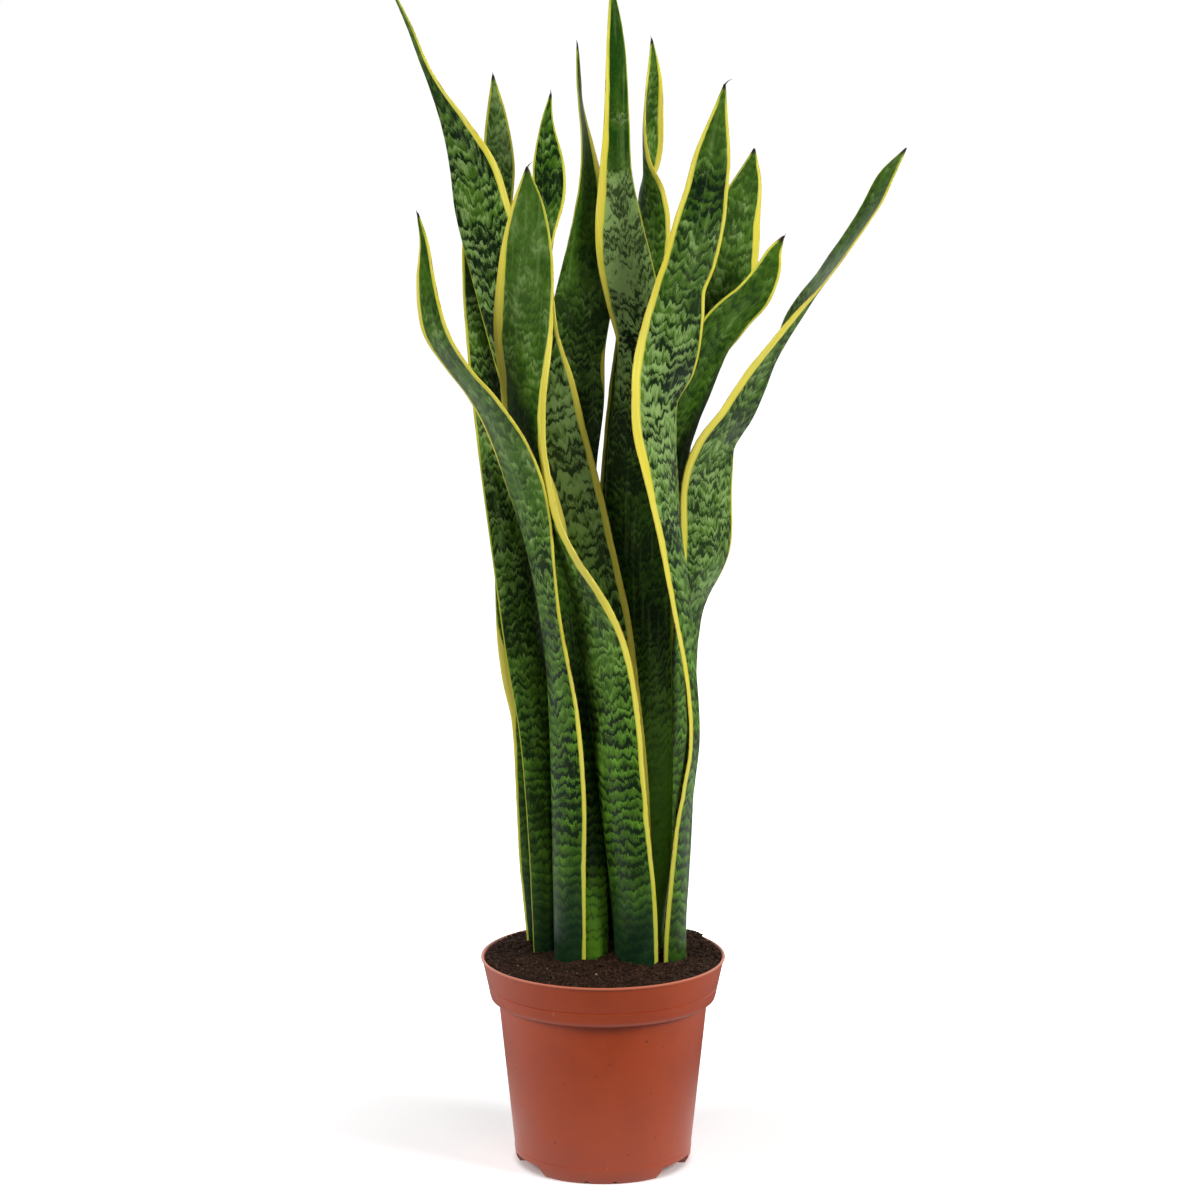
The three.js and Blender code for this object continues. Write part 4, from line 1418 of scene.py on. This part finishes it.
# Where the floor and the world start and end to act, in metres or by direction, and what they give.
STUDIO_RAMPS = {
    "sides": (0.1, 0.9),
    "far_glow": (0.15, 0.6, 0.45, 1.0),
    "under_pot": (0.069, 0.08),
    "side_gloss": (1.6, 0.7, 0.0, 2.1),
    "near_gloss": (0.34, 0.12, 0.0, 1.0),
    "back_gloss": (-0.1, 0.6, 0.02, 1.3),
    "top_gloss": (0.4, 0.95, 0.0, 0.45),
}
FLOOR_COLOURS = {
    "white": srgb(250, 250, 250),
    "full_white": srgb(255, 255, 255),
    "middle": srgb(176, 176, 176),
    "sides": srgb(200, 200, 200),
    "gloss": srgb(70, 70, 70),
}
FLOOR_SIZE = 30


def add_camera():
    data = bpy.data.cameras.new("camera")
    data.lens = CAMERA["lens"]
    data.sensor_width = CAMERA["sensor"]
    data.clip_end = CAMERA["reach"]
    camera = bpy.data.objects.new("camera", data)
    camera.location = millimetres(CAMERA["x"], CAMERA["y"], CAMERA["z"])
    camera.rotation_euler = (math.radians(90 - CAMERA["pitch"]), 0, 0)
    bpy.context.scene.collection.objects.link(camera)
    bpy.context.scene.camera = camera


def add_lamp(name, location, size, power):
    data = bpy.data.lights.new(name, "AREA")
    data.shape = "DISK"
    data.size = size
    data.energy = power
    lamp = bpy.data.objects.new(name, data)
    lamp.location = location
    aim = Vector(LAMP_TARGET) - Vector(location)
    lamp.rotation_euler = aim.to_track_quat("-Z", "Y").to_euler()
    lamp.visible_glossy = False
    bpy.context.scene.collection.objects.link(lamp)


def floor_material():
    """A pale floor: white to the camera, a softer grey as a source of bounced light and gloss."""
    white = (1, 1, 1, 1)
    material, n, shader = new_material(
        "pale_floor", Roughness=0.9, Specular_IOR_Level=0.1, Emission_Color=white
    )
    place = n.add("ShaderNodeTexCoord").outputs["Object"]
    path = n.add("ShaderNodeLightPath").outputs
    camera, gloss = path["Is Camera Ray"], path["Is Glossy Ray"]

    def ramp(value, name):
        return n.smooth(value, *STUDIO_RAMPS[name])

    sides = ramp(n.math("ABSOLUTE", n.parts(place)[0]), "sides")
    seen = n.mix(n.noise(place, 3.0), FLOOR_COLOURS["white"], FLOOR_COLOURS["full_white"])
    bounced = n.mix(sides, FLOOR_COLOURS["middle"], FLOOR_COLOURS["sides"])
    bounced = n.mix(gloss, bounced, FLOOR_COLOURS["gloss"])
    n.set(shader, "Base Color", n.mix(camera, bounced, seen))
    away = n.add("ShaderNodeVectorMath", {"operation": "DISTANCE"}, i0=place, i1=AXIS)
    away = away.outputs["Value"]
    glow = n.times(camera, ramp(away, "far_glow"), ramp(away, "under_pot"))
    shine = n.plus(n.times(sides, ramp(away, "side_gloss")), ramp(away, "near_gloss"))
    n.set(shader, "Emission Strength", n.plus(glow, n.times(gloss, shine)))
    return material


def add_world():
    """A white world to the camera, dim to the plant and bright behind it in its gloss."""
    world = bpy.data.worlds.new("studio")
    world.use_nodes = True
    n = Nodes(world.node_tree)
    background = world.node_tree.nodes["Background"]
    n.set(background, "Color", (1, 1, 1, 1))
    path = n.add("ShaderNodeLightPath").outputs
    _, back, top = n.parts(n.add("ShaderNodeTexCoord").outputs["Generated"])
    sheen = n.plus(
        n.smooth(back, *STUDIO_RAMPS["back_gloss"]), n.smooth(top, *STUDIO_RAMPS["top_gloss"])
    )
    light = n.plus(AMBIENT, n.times(path["Is Glossy Ray"], n.math("SUBTRACT", sheen, AMBIENT)))
    n.set(background, "Strength", n.math("MAXIMUM", light, path["Is Camera Ray"]))
    bpy.context.scene.world = world


def add_studio():
    bm = bmesh.new()
    bmesh.ops.create_grid(bm, x_segments=1, y_segments=1, size=FLOOR_SIZE)
    dress(new_object("floor", bm), floor_material())
    add_world()
    for name, values in LAMPS.items():
        add_lamp(name, *values)
    bpy.context.scene.view_settings.view_transform = "Standard"


# ---- The plant ----

add_camera()
add_studio()
markings = leaf_group()
for number, (leaf, stations) in enumerate(LEAVES.items()):
    seed = LEAF_SEED * (number + 1)
    skin = leaf_material(leaf, markings, seed, *ROWS[leaf])
    blade_piece(leaf, stations, MARKS[leaf], seed, skin)
dry = hair_material()
for leaf, shape in HAIRS.items():
    hair_piece(leaf, *shape, dry)
pot_piece(pot_material())
peat = soil_material()
soil_piece(peat)
crumb_piece("peat_crumbs", *CRUMBS["peat_crumbs"], peat)
crumb_piece("pale_flecks", *CRUMBS["pale_flecks"], fleck_material())
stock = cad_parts["rhizome"]
stock.data.materials.clear()
stock.data.materials.append(stock_material())
